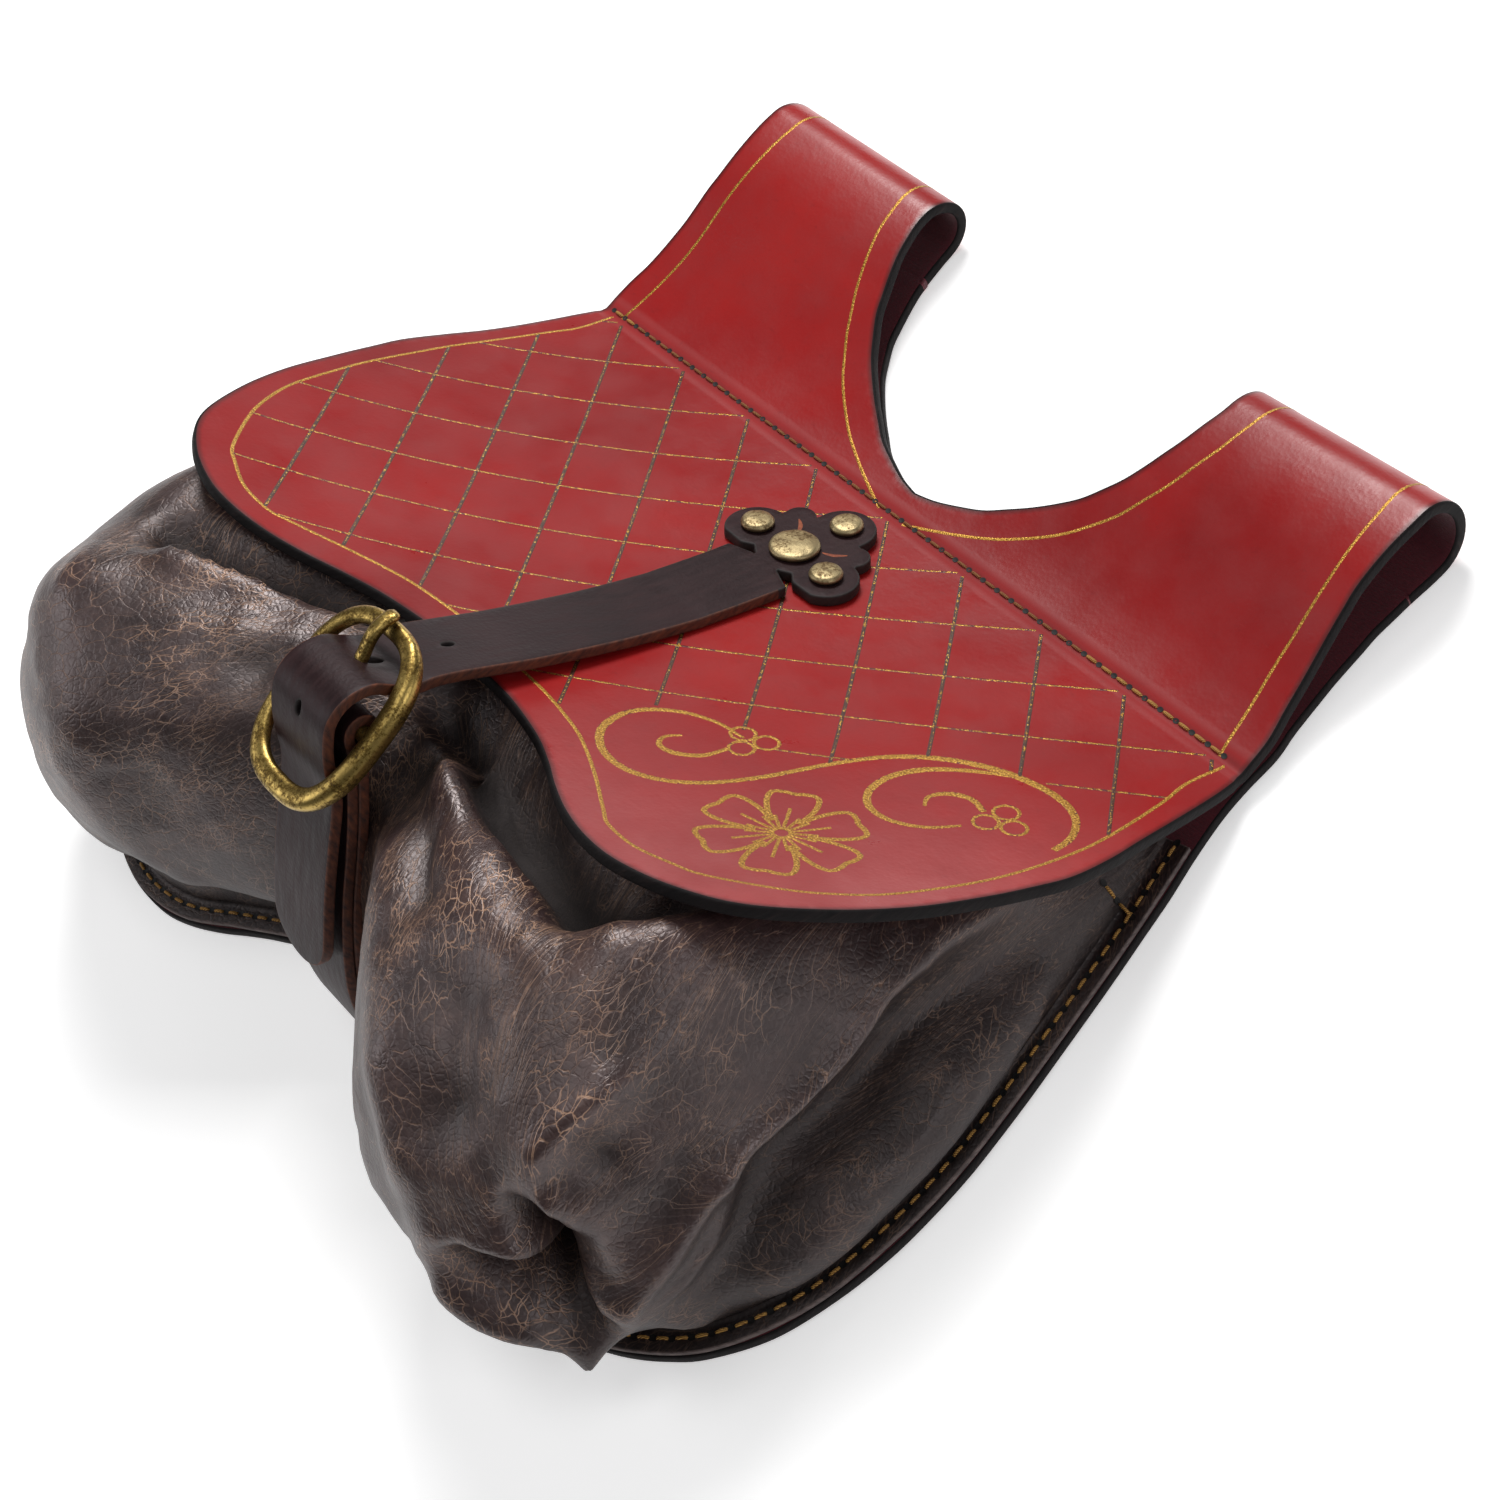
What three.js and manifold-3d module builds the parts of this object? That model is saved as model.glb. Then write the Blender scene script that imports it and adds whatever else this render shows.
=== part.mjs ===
// Leather belt / saddle bag with two belt loops, a heart-shaped flap, a soft pouch and a strap-and-buckle closure.
// Millimetres, +Z up. The bag lies on its back: +X across the bag, +Y towards the belt loops, +Z out of its front.
import * as THREE from "three";
import { mergeVertices } from "three/addons/utils/BufferGeometryUtils.js";
import Module from "manifold-3d";

// ---------- driving dimensions ----------
const ORIGIN_Y = 63.275; // the stitch line lies this far towards +Y from the origin
const T_RED = 3.0; // thickness of the firm red leather
const T_POUCH = 1.6; // thickness of the soft pouch leather
const T_STRAP = 3.0; // thickness of the strap leather
const GAP = 0.3; // clearance between touching pieces
const PANEL_TOP_Y = 10.0; // top edge of the back panel, at the bottom of the U cut
const STITCH_Z = 6.5; // height of the outer leather face at the stitch line
const FLAP_ANGLE = THREE.MathUtils.degToRad(23); // slope of the flap where it leaves the stitch line
const FLAP_UNIT = 30; // length unit of the flap's curvature terms
const FLAP_BOW = 0.033; // upward bow along the flap
const FLAP_CUP = 0.00514; // upward bow across the flap
const LOOP_FOLD_Y = 70.0; // centre of the fold of each belt loop
const LOOP_FOLD_R = 10.5; // outer radius of that fold
const STRAP_HALF = 12.0; // half width of the closure strap
const CHAPE_HALF = 12.0; // half width of the buckle strap
const BAR = [-137.0, 88.0]; // centre of the buckle bar (y, z)
const BAR_R = 2.0; // radius of the buckle bar
const RING_A = 22.0; // half length of the buckle, to the wire's centre
const RING_B = 16.6; // half width of the buckle, to the wire's centre
const RING_TILT = THREE.MathUtils.degToRad(15); // pitch of the buckle, heel down
const PRONG_R = 1.35; // radius of the prong
const RIVET_BIG_R = 6.5; // radius of the large rivet cap
const RIVET_SMALL_R = 4.3; // radius of a small rivet cap
const RIVET_POST_R = 1.5; // radius of a rivet post
const HINGE_CLEAR = 0.15; // distance of the flap's edge from its hinge line

// Half outline of the back panel, from the bottom centre to the top right corner (x, y).
const PANEL = [
  [0, -175], [15, -176], [30, -179], [41, -184], [49, -188.5], [57, -193.5], [66, -198], [75, -200.8], [85, -201.5],
  [95, -200.5], [105, -197.5], [115, -193], [123.5, -188.5], [131, -183], [138, -176], [146, -162.5], [150.3, -146.5],
  [152, -132], [152, -120], [151.2, -108], [149.6, -97], [147.7, -86], [145.5, -75], [143.3, -64], [141, -53],
  [138.5, -42], [136, -31], [133, -20], [130.6, -9], [129.6, 0], [129.2, PANEL_TOP_Y],
];
// Edges of a belt loop against y, in order: inner edge and outer edge.
const LOOP_IN = [
  [10, 2.5], [11, 7], [13.1, 13], [16, 20], [19.5, 25.4], [23.3, 31], [27.4, 36.3], [31.8, 41.3], [36.4, 45.1],
  [41.3, 48.7], [46.4, 51.2], [51.8, 53.6], [57, 55.6], [62.4, 57.1], [67.4, 58.3], [72, 59], [81, 60],
];
const LOOP_OUT = [
  [0, 129.6], [6, 129.4], [11, 129], [17, 127.7], [22, 126.9], [27, 126.2], [32, 125.5], [37, 125], [43, 124.5],
  [48, 124], [58, 124], [70, 124.4], [81, 124],
];
// Height of the front leather's outer face above the floor, against y.
const FRONT_Z = [
  [0, STITCH_Z], [5, 6.9], [10, 7.4], [16, 8.3], [22, 9.6], [27, 10.9], [32, 12.4], [37, 14.2], [42, 16], [47, 17.5],
  [52, 18.9], [58, 20.1], [64, 20.8], [LOOP_FOLD_Y, 21],
];
// Flap outline: nearest and furthest reach v from the stitch line, against the distance u from the centre.
const FLAP_NEAR = [[0, HINGE_CLEAR], [130.3, HINGE_CLEAR], [131.6, 8], [133, 17], [134.5, 27], [136, 36], [138, 46], [139.4, 56]];
const FLAP_FAR = [
  [0, 122.4], [11, 122.6], [20, 123.5], [34, 126.5], [45, 130.5], [55, 135], [66, 139], [78, 141.5], [90, 141.5],
  [104, 137.5], [117, 129], [127, 113.5], [133.5, 97], [137, 80], [138.6, 68], [139.4, 62],
];
// Pouch surface: one row for each place on the panel's edge (x, y), then seven points up and over to the mouth.
const POUCH = [
  [[133, -20], [124.6, -22, 5.4], [124.2, -22.4, 5.8], [123.9, -22.8, 6.2], [123.6, -23.2, 6.5], [123.2, -23.6, 6.8], [122.8, -24, 7.0], [122.4, -24.4, 7.1], [122, -24.8, 7.2]],
  [[138.3, -41], [130, -41, 8], [128, -41, 11], [125, -40.5, 14], [122, -39.5, 16.5], [119.5, -38, 17.5], [117, -35.5, 16.5], [115.5, -33, 14.5], [114, -30.5, 12.5]],
  [[143.3, -64], [135.5, -63.5, 12], [132.5, -63.5, 18], [128, -63.5, 25], [123, -62, 30.5], [117, -58, 32], [111.5, -51, 28], [107.5, -43, 22], [104, -35, 16]],
  [[147.7, -86], [140.5, -85.5, 14], [136, -85.5, 24], [130.5, -86, 33], [125, -85.5, 43], [117, -81, 47], [110, -70, 41], [103, -54, 29], [96, -37, 18]],
  [[151.2, -108], [144.5, -107.5, 15], [139, -107.5, 27], [132, -107.5, 39], [127, -108, 54], [118, -106, 64], [110, -93, 58.5], [100, -68, 39], [88, -38.5, 19]],
  [[152, -128], [146, -128, 16], [140, -127.5, 29], [133.5, -128, 43], [129, -128.5, 59], [120, -127, 73], [108, -112, 74], [96, -80, 48.5], [80, -39.5, 19.5]],
  [[149.4, -152], [144, -151.5, 16], [138.5, -151, 30], [133.5, -151.5, 46], [129, -152, 62], [118, -150, 77], [102, -130, 82], [88, -90, 54], [70, -40.5, 20]],
  [[140, -173.5], [136.5, -172.5, 16], [134.5, -173.8, 30], [131.5, -173.8, 47], [125.5, -171, 65], [112, -163, 80], [94, -138, 84], [78, -96, 58], [60, -41, 20]],
  [[126, -187], [124.5, -186.5, 15], [124.5, -191, 30], [122, -190, 48], [115.5, -184, 67], [101, -170, 82], [84, -142, 85], [68, -98, 58.5], [50, -41.5, 20]],
  [[108, -196.4], [107.5, -197, 14], [108, -203, 29], [106.5, -202, 48], [100, -192, 69], [88, -174, 83.5], [73, -143, 85], [58, -98, 58], [41, -41.8, 19.8]],
  [[88, -201.4], [88.5, -201.5, 14], [89, -207, 28], [88, -206, 46], [83, -195, 68], [73, -175, 82.5], [61, -143, 84], [48, -98, 57.5], [33, -42, 19.6]],
  [[68, -198.8], [69, -199, 14], [68.5, -204.5, 28], [67, -203, 46], [64, -191, 67], [58, -171, 80.5], [48, -141, 81.5], [38, -97, 56.5], [25, -42, 19.4]],
  [[50, -189.1], [51.5, -189, 14], [50, -194, 28], [49, -192, 46], [46, -180, 65], [42, -162, 78], [35, -134, 79], [27, -95, 55.5], [18, -42, 19.2]],
  [[32, -179.8], [33, -178.5, 14], [31, -181.5, 28], [30, -177, 46], [29, -165, 63.5], [26.5, -149, 75], [22, -126, 75.5], [16.5, -94, 55], [12, -42, 19.1]],
  [[14, -175.8], [14.6, -172.5, 13], [15, -172.5, 27], [15, -165, 43], [14.5, -153, 60], [13, -140, 69.5], [11, -120, 69.5], [8.5, -93, 54], [6, -42, 19]],
  [[0, -175], [0, -171.5, 13], [0, -170, 26], [0, -162, 41.5], [0, -150, 58], [0, -138, 67.5], [0, -119, 67.5], [0, -93, 53.5], [0, -42, 19]],
];
const INSET_EDGE = 0.8; // raw edge of the pouch, in from the panel's edge
const INSET_STITCH = 3.8; // stitch line of the pouch, in from the panel's edge
const INSET_WALL = 6.5; // foot of the pouch wall, in from the panel's edge
// Top face of the closure strap where it has left the flap (y, z), down to its tip.
const STRAP_RUN = [
  [-74.4, 51.4], [-92.9, 65.9], [-104, 75.5], [-111, 81.6], [-116, 85.4], [-120.6, 88.0], [-124.6, 92.6], [-128.6, 97.3], [-135.4, 99.5],
  [-142, 97.5], [-146.8, 91.6], [-150, 85.0], [-153.0, 77.4], [-160.8, 67], [-169.6, 55], [-177.6, 42.7], [-181.8, 35.2],
];
const STRAP_HOLES = [[-108, 79], [-124.8, 93], [-143.4, 96.8]]; // punched holes of the strap (y, z)
// Middle of the doubled buckle strap, from the bar round the pouch's bottom to the panel's edge (y, z).
const CHAPE_RUN = [
  [-139.6, 85.0], [-144.4, 78.2], [-149.2, 70.4], [-155.4, 61.2], [-164.2, 49], [-171.8, 36.6], [-177.4, 24.5], [-179.9, 12], [-180, GAP],
];
const RIVETS = [["center", 0, 29.5, RIVET_BIG_R], ["left", -14.2, 30.5, RIVET_SMALL_R], ["right", 14.2, 30.5, RIVET_SMALL_R], ["top", 0.6, 13.6, RIVET_SMALL_R]];

// ---------- helpers ----------
const wasm = await Module();
wasm.setup();
const V = (x, y, z) => new THREE.Vector3(x, y, z);
const lerpTable = (table, x) => {
  if (x <= table[0][0]) return table[0][1];
  for (let i = 1; i < table.length; i++)
    if (x <= table[i][0]) {
      const [a, fa] = table[i - 1], [b, fb] = table[i];
      return fa + ((fb - fa) * (x - a)) / (b - a);
    }
  return table[table.length - 1][1];
};
const catmull = (p, t) => {
  const n = p.length - 1, f = Math.min(Math.max(t, 0), 1) * n, i = Math.min(Math.floor(f), n - 1), s = f - i;
  const at = (k) => (k < 0 ? p[0].map((v, j) => 2 * v - p[1][j]) : k > n ? p[n].map((v, j) => 2 * v - p[n - 1][j]) : p[k]);
  const [a, b, c, d] = [at(i - 1), at(i), at(i + 1), at(i + 2)];
  return b.map((_, j) => 0.5 * (2 * b[j] + (c[j] - a[j]) * s + (2 * a[j] - 5 * b[j] + 4 * c[j] - d[j]) * s * s + (3 * b[j] - a[j] - 3 * c[j] + d[j]) * s * s * s));
};
const geometry = (vertices, triangles) => {
  const g = new THREE.BufferGeometry();
  g.setAttribute("position", new THREE.Float32BufferAttribute(vertices.flatMap((v) => [v.x, v.y, v.z]), 3));
  g.setIndex(triangles);
  return g;
};
const volumeOf = (g) => {
  const p = g.attributes.position, ix = g.index.array, a = V(), b = V(), c = V();
  let v = 0;
  for (let i = 0; i < ix.length; i += 3) {
    a.fromBufferAttribute(p, ix[i]); b.fromBufferAttribute(p, ix[i + 1]); c.fromBufferAttribute(p, ix[i + 2]);
    v += a.dot(b.cross(c)) / 6;
  }
  return v;
};
const outward = (g) => {
  if (volumeOf(g) < 0) {
    const ix = g.index.array;
    for (let i = 0; i < ix.length; i += 3) [ix[i + 1], ix[i + 2]] = [ix[i + 2], ix[i + 1]];
  }
  return g;
};
// A sheet of thickness t below a grid of points. sign turns the side that the thickness lies on.
const sheet = (P, t, sign = 1) => {
  const n = P.length, m = P[0].length, top = [], low = [];
  for (let i = 0; i < n; i++)
    for (let j = 0; j < m; j++) {
      const du = P[Math.min(i + 1, n - 1)][j].clone().sub(P[Math.max(i - 1, 0)][j]);
      const dv = P[i][Math.min(j + 1, m - 1)].clone().sub(P[i][Math.max(j - 1, 0)]);
      top.push(P[i][j]);
      low.push(P[i][j].clone().addScaledVector(du.cross(dv).normalize(), -sign * t));
    }
  const all = [...top, ...low], N = n * m, tri = [], q = (a, b, c, d) => tri.push(a, b, c, a, c, d);
  for (let i = 0; i < n - 1; i++)
    for (let j = 0; j < m - 1; j++) {
      const a = i * m + j, b = a + m, c = b + 1, d = a + 1;
      q(a, b, c, d); q(N + a, N + d, N + c, N + b);
    }
  for (let i = 0; i < n - 1; i++) {
    const a = i * m, b = a + m; q(a, N + a, N + b, b);
    const c = i * m + m - 1, d = c + m; q(c, d, N + d, N + c);
  }
  for (let j = 0; j < m - 1; j++) {
    const a = j, b = j + 1; q(a, b, N + b, N + a);
    const c = (n - 1) * m + j, d = c + 1; q(c, N + c, N + d, d);
  }
  return outward(geometry(all, tri));
};
const solid = (g0) => {
  let g = g0.index ? g0.clone() : g0;
  g.deleteAttribute("normal"); g.deleteAttribute("uv");
  g = outward(mergeVertices(g, 1e-4));
  return new wasm.Manifold(new wasm.Mesh({ numProp: 3, vertProperties: new Float32Array(g.attributes.position.array), triVerts: new Uint32Array(g.index.array) }));
};
const fromSolid = (s) => {
  const m = s.getMesh(), g = new THREE.BufferGeometry(), out = [];
  for (let i = 0; i < m.vertProperties.length; i += m.numProp) out.push(m.vertProperties[i], m.vertProperties[i + 1], m.vertProperties[i + 2]);
  g.setAttribute("position", new THREE.Float32BufferAttribute(out, 3));
  g.setIndex(Array.from(m.triVerts));
  return g;
};
// A round pin or disc between two points.
const rod = (a, b, r, seg = 16) => {
  const g = new THREE.CylinderGeometry(r, r, a.distanceTo(b), seg);
  g.applyQuaternion(new THREE.Quaternion().setFromUnitVectors(V(0, 1, 0), b.clone().sub(a).normalize()));
  const c = a.clone().add(b).multiplyScalar(0.5);
  return g.translate(c.x, c.y, c.z);
};
// A tube with a radius that may change along a path; closed makes it a ring.
const tube = (points, radius, seg, closed = false, up = V(1, 0, 0)) => {
  const n = points.length, rings = [], tri = [];
  for (let i = 0; i < n; i++) {
    const before = points[closed ? (i + n - 1) % n : Math.max(i - 1, 0)], after = points[closed ? (i + 1) % n : Math.min(i + 1, n - 1)];
    const t = after.clone().sub(before).normalize(), a = up.clone().addScaledVector(t, -up.dot(t)).normalize(), b = t.clone().cross(a);
    const r = typeof radius === "function" ? radius(i / n) : radius;
    for (let k = 0; k < seg; k++) {
      const w = (2 * Math.PI * k) / seg;
      rings.push(points[i].clone().addScaledVector(a, r * Math.cos(w)).addScaledVector(b, r * Math.sin(w)));
    }
  }
  const last = closed ? n : n - 1;
  for (let i = 0; i < last; i++)
    for (let k = 0; k < seg; k++) {
      const a = i * seg + k, b = i * seg + ((k + 1) % seg), c = ((i + 1) % n) * seg + ((k + 1) % seg), d = ((i + 1) % n) * seg + k;
      tri.push(a, b, c, a, c, d);
    }
  if (!closed)
    for (let k = 1; k < seg - 1; k++) {
      tri.push(0, k + 1, k);
      const o = (n - 1) * seg; tri.push(o, o + k, o + k + 1);
    }
  return outward(geometry(rings, tri));
};

// ---------- shapes shared by several pieces ----------
// Outer face of the flap at distance u from the centre line and v below the stitch line.
const flapPoint = (u, v, lift = 0) => {
  const U = u / FLAP_UNIT, W = v / FLAP_UNIT, z = (FLAP_BOW * W * W + FLAP_CUP * U * U * W) * FLAP_UNIT, c = Math.cos(FLAP_ANGLE), s = Math.sin(FLAP_ANGLE);
  const slope = 2 * FLAP_BOW * W + FLAP_CUP * U * U, a = FLAP_ANGLE + Math.atan(slope);
  return V(u, -v * c + z * s + lift * Math.sin(a), z * c + v * s + STITCH_Z + lift * Math.cos(a));
};
const flapNormal = (u, v) => flapPoint(u, v, 1).sub(flapPoint(u, v, 0)).normalize();
// Outer face of the front leather above the stitch line, a little higher at the bag's sides.
const frontTwist = (x, y) => (2.6 * Math.min(y / 47, 1) * (Math.abs(x) - 90)) / 35;
const frontPoint = (x, y) => V(x, y, lerpTable(FRONT_Z, y) + Math.max(frontTwist(x, y), -2.6 * Math.min(y / 47, 1)));
// Panel edge as one smooth closed outline, right half then left half.
const halfEdge = [];
for (let i = 0; i < PANEL.length - 1; i++) halfEdge.push(PANEL[i]);
halfEdge.push(PANEL[PANEL.length - 1]);

// ---------- pieces ----------
const group = new THREE.Group();
group.position.y = ORIGIN_Y;
const leather = (color, roughness) => new THREE.MeshStandardMaterial({ color, roughness, metalness: 0 });
const brass = () => new THREE.MeshStandardMaterial({ color: 0x9b8250, roughness: 0.35, metalness: 0.9 });
const add = (name, g, material) => {
  const m = new THREE.Mesh(g, material);
  m.name = name;
  m.geometry.computeVertexNormals();
  group.add(m);
};

// Back panel: a flat sheet with two rounded lobes at the bottom.
{
  const outline = [...halfEdge.map(([x, y]) => [x, y]), ...halfEdge.slice(1).reverse().map(([x, y]) => [-x, y])];
  const shape = new THREE.Shape(outline.map(([x, y]) => new THREE.Vector2(x, y)));
  add("back_panel", new THREE.ExtrudeGeometry(shape, { depth: T_RED, bevelEnabled: false, steps: 1 }), leather(0x8e2127, 0.4));
}

// Front yoke: the strip of front leather between the stitch line and the belt loops.
{
  const P = [];
  for (const y of [HINGE_CLEAR, 5, PANEL_TOP_Y]) {
    const row = [], e = lerpTable(LOOP_OUT, y);
    for (let j = 0; j <= 16; j++) row.push(frontPoint(-e + (2 * e * j) / 16, y));
    P.push(row);
  }
  add("front_yoke", sheet(P, T_RED, -1), leather(0xa3262c, 0.35));
}

// Belt loops: the front leather folds over at the top and runs back down behind.
for (const [name, side] of [["loop_left", -1], ["loop_right", 1]]) {
  const path = [];
  for (const y of [PANEL_TOP_Y + GAP, 12, 14, 17, 21, 26, 32, 38, 44, 51, 58, 64]) path.push([y, null, 1]);
  for (let k = 0; k <= 8; k++) {
    const a = Math.PI / 2 - (Math.PI * k) / 8;
    path.push([LOOP_FOLD_Y + LOOP_FOLD_R * Math.cos(a), LOOP_FOLD_R + LOOP_FOLD_R * Math.sin(a), (1 + Math.sin(a)) / 2]);
  }
  for (const y of [62, 54, 46, 38, 32, 26, 21, 17, 14, 12, PANEL_TOP_Y + GAP]) path.push([y, 0, 0]);
  const P = path.map(([y, z, twist]) => {
    const a = lerpTable(LOOP_IN, y), b = lerpTable(LOOP_OUT, y), row = [];
    for (let j = 0; j <= 6; j++) {
      const x = a + ((b - a) * j) / 6;
      row.push(z === null ? frontPoint(side * x, y) : V(side * x, y, z + twist * frontTwist(x, Math.min(y, 64))));
    }
    return row;
  });
  add(name, sheet(P, T_RED, side > 0 ? -1 : 1), leather(0xa3262c, 0.35));
}

// Flap: heart-shaped, hinged along the stitch line, bowed upwards.
const postHoles = RIVETS.map(([, u, v]) => rod(flapPoint(u, v, -6), flapPoint(u, v, 8), RIVET_POST_R + 0.4, 12));
{
  const half = [0, 9, 18, 27, 36, 45, 54, 63, 72, 81, 90, 99, 107, 114, 120, 125, 129, 132, 134.5, 136.5, 138, 139.4];
  const us = [...half.slice(1).reverse().map((u) => -u), ...half], P = [];
  for (const u of us) {
    const lo = lerpTable(FLAP_NEAR, Math.abs(u)), hi = lerpTable(FLAP_FAR, Math.abs(u)), row = [];
    for (let j = 0; j <= 9; j++) row.push(flapPoint(u, lo + ((hi - lo) * j) / 9));
    P.push(row);
  }
  let s = solid(sheet(P, T_RED, -1));
  for (const h of postHoles) s = s.subtract(solid(h));
  add("flap", fromSolid(s), leather(0xa3262c, 0.33));
}

// Pouch: one shell sewn to the panel along its edge, open under the flap.
const stations = [];
{
  const all = [...POUCH.map((r) => r), ...POUCH.slice(0, -1).reverse().map((r) => r.map((p) => (p.length === 2 ? [-p[0], p[1]] : [-p[0], p[1], p[2]])))];
  all.forEach((row, i) => {
    const [x, y] = row[0], before = all[Math.max(i - 1, 0)][0], after = all[Math.min(i + 1, all.length - 1)][0];
    const t = new THREE.Vector2(after[0] - before[0], after[1] - before[1]).normalize(), n = new THREE.Vector2(-t.y, t.x);
    if (n.dot(new THREE.Vector2(-x, -100 - y)) < 0) n.negate();
    const z = T_RED + GAP + T_POUCH, at = (d) => [x + n.x * d, y + n.y * d, z];
    stations.push([at(INSET_EDGE), at(INSET_WALL), ...row.slice(1)]);
  });
  const NT = 46, NH = 15, P = [];
  for (let i = 0; i <= NT; i++) {
    const column = Array.from({ length: stations[0].length }, (_, k) => catmull(stations.map((s) => s[k]), i / NT)), row = [];
    row.push(V(...column[0]));
    for (let j = 0; j <= NH; j++) row.push(V(...catmull(column.slice(1), j / NH)));
    P.push(row);
  }
  add("pouch", sheet(P, T_POUCH, -1), leather(0x3b2a29, 0.5));
}

// Threads: the double row across the top seam, and the long seam round the pouch with its corner stitches.
{
  const P = [];
  for (let i = 0; i <= 30; i++) {
    const x = -124 + (248 * i) / 30, a = frontPoint(x, 3), b = frontPoint(x, 4.2);
    P.push([V(x, 3, a.z + GAP + 0.5), V(x, 4.2, b.z + GAP + 0.5)]);
  }
  add("top_seam_thread", sheet(P, 0.5, -1), leather(0xb88a3c, 0.7));
}
{
  const P = [], z = T_RED + GAP + T_POUCH + GAP + 0.7, line = [];
  for (let i = 0; i <= 60; i++) {
    const t = i / 60, e = catmull(stations.map((s) => s[0]), t), w = catmull(stations.map((s) => s[1]), t), k = (INSET_STITCH - INSET_EDGE) / (INSET_WALL - INSET_EDGE);
    const at = (f) => V(e[0] + (w[0] - e[0]) * f, e[1] + (w[1] - e[1]) * f, z);
    line.push([at(k - 0.1), at(k + 0.1)]);
  }
  for (const r of line) P.push(r);
  add("pouch_seam_thread", sheet(P, 0.7, -1), leather(0xb88a3c, 0.7));
}

// Closure strap: riveted to the flap by its scalloped head, then threaded through the buckle.
const HEAD_LOBES = [[14.2, 30.5, 8.3], [0, 14.2, 8.3], [9.8, 18.7, 4.6]]; // lobes of the head (u, v, radius)
const strapHalf = (v) => Math.max(v < 38 ? 2.2 : STRAP_HALF, ...HEAD_LOBES.map(([u, c, r]) => (Math.abs(v - c) < r ? u + Math.sqrt(r * r - (v - c) ** 2) : 0)));
{
  const rows = [];
  for (const v of [6, 7, 8.5, 11, 14, 16.5, 18.7, 21, 22.9, 24.5, 27, 30.5, 34, 36.5, 38.2, 39.2, 45, 52, 60, 68]) {
    const p = flapPoint(0, v, GAP + T_STRAP);
    rows.push([strapHalf(v), p.y, p.z]);
  }
  const last = rows[rows.length - 1], run = [[last[1], last[2]], ...STRAP_RUN], n = 48, pts = Array.from({ length: n + 1 }, (_, i) => catmull(run, i / n));
  const reach = [0];
  for (let i = 1; i <= n; i++) reach.push(reach[i - 1] + Math.hypot(pts[i][0] - pts[i - 1][0], pts[i][1] - pts[i - 1][1]));
  for (let i = 1; i <= n; i++) {
    const left = reach[n] - reach[i];
    rows.push([left < 12 ? Math.max(3.2, STRAP_HALF * Math.sqrt(1 - (1 - left / 12) ** 2)) : STRAP_HALF, ...pts[i]]);
  }
  let s = solid(sheet(rows.map(([w, y, z]) => [-1, -0.5, 0, 0.5, 1].map((k) => V(k * w, y, z))), T_STRAP, 1));
  for (const h of postHoles) s = s.subtract(solid(h));
  const punch = (y, z, d, r) => solid(rod(V(0.03, y, z).addScaledVector(d, -7), V(0.03, y, z).addScaledVector(d, 4), r, 10));
  s = s.subtract(punch(...STRAP_HOLES[0], V(0, 0.68, 0.73), 1.7)).subtract(punch(...STRAP_HOLES[2], V(0, -0.45, 0.89), 1.7));
  s = s.subtract(punch(...STRAP_HOLES[1], V(0, 0.76, 0.65), 2.6)).subtract(punch(STRAP_HOLES[1][0] - 2, STRAP_HOLES[1][1] + 2.3, V(0, 0.76, 0.65), 2.6));
  add("closure_strap", fromSolid(s), leather(0x41292a, 0.45));
}

// Rivets: a domed cap with its post through strap and flap, and a flat cap behind.
for (const [name, u, v, r] of RIVETS) {
  const n = flapNormal(u, v), up = new THREE.Quaternion().setFromUnitVectors(V(0, 1, 0), n), base = GAP + T_STRAP + 1.0;
  const cap = [[0, -8.2], [RIVET_POST_R, -8.2], [RIVET_POST_R, 0], [r - 0.5, 0], [r, 0.35], [r * 0.86, 1.1], [r * 0.5, 1.7], [0, 1.9]].map(([a, b]) => new THREE.Vector2(a, b));
  const g = new THREE.LatheGeometry(cap, 18).applyQuaternion(up), p = flapPoint(u, v, base);
  add("rivet_cap_" + name, g.translate(p.x, p.y, p.z), brass());
  const q = flapPoint(u, v, -T_RED - GAP), back = [[RIVET_POST_R + 0.3, -0.2], [r * 0.8, -0.5], [r * 0.95, -1.0], [r * 0.7, -1.6], [RIVET_POST_R + 0.3, -1.6], [RIVET_POST_R + 0.3, -0.2]].map(([a, b]) => new THREE.Vector2(a, b));
  const w = fromSolid(solid(new THREE.LatheGeometry(back, 18).applyQuaternion(up)));
  add("rivet_back_" + name, w.translate(q.x, q.y, q.z), brass());
}

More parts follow.
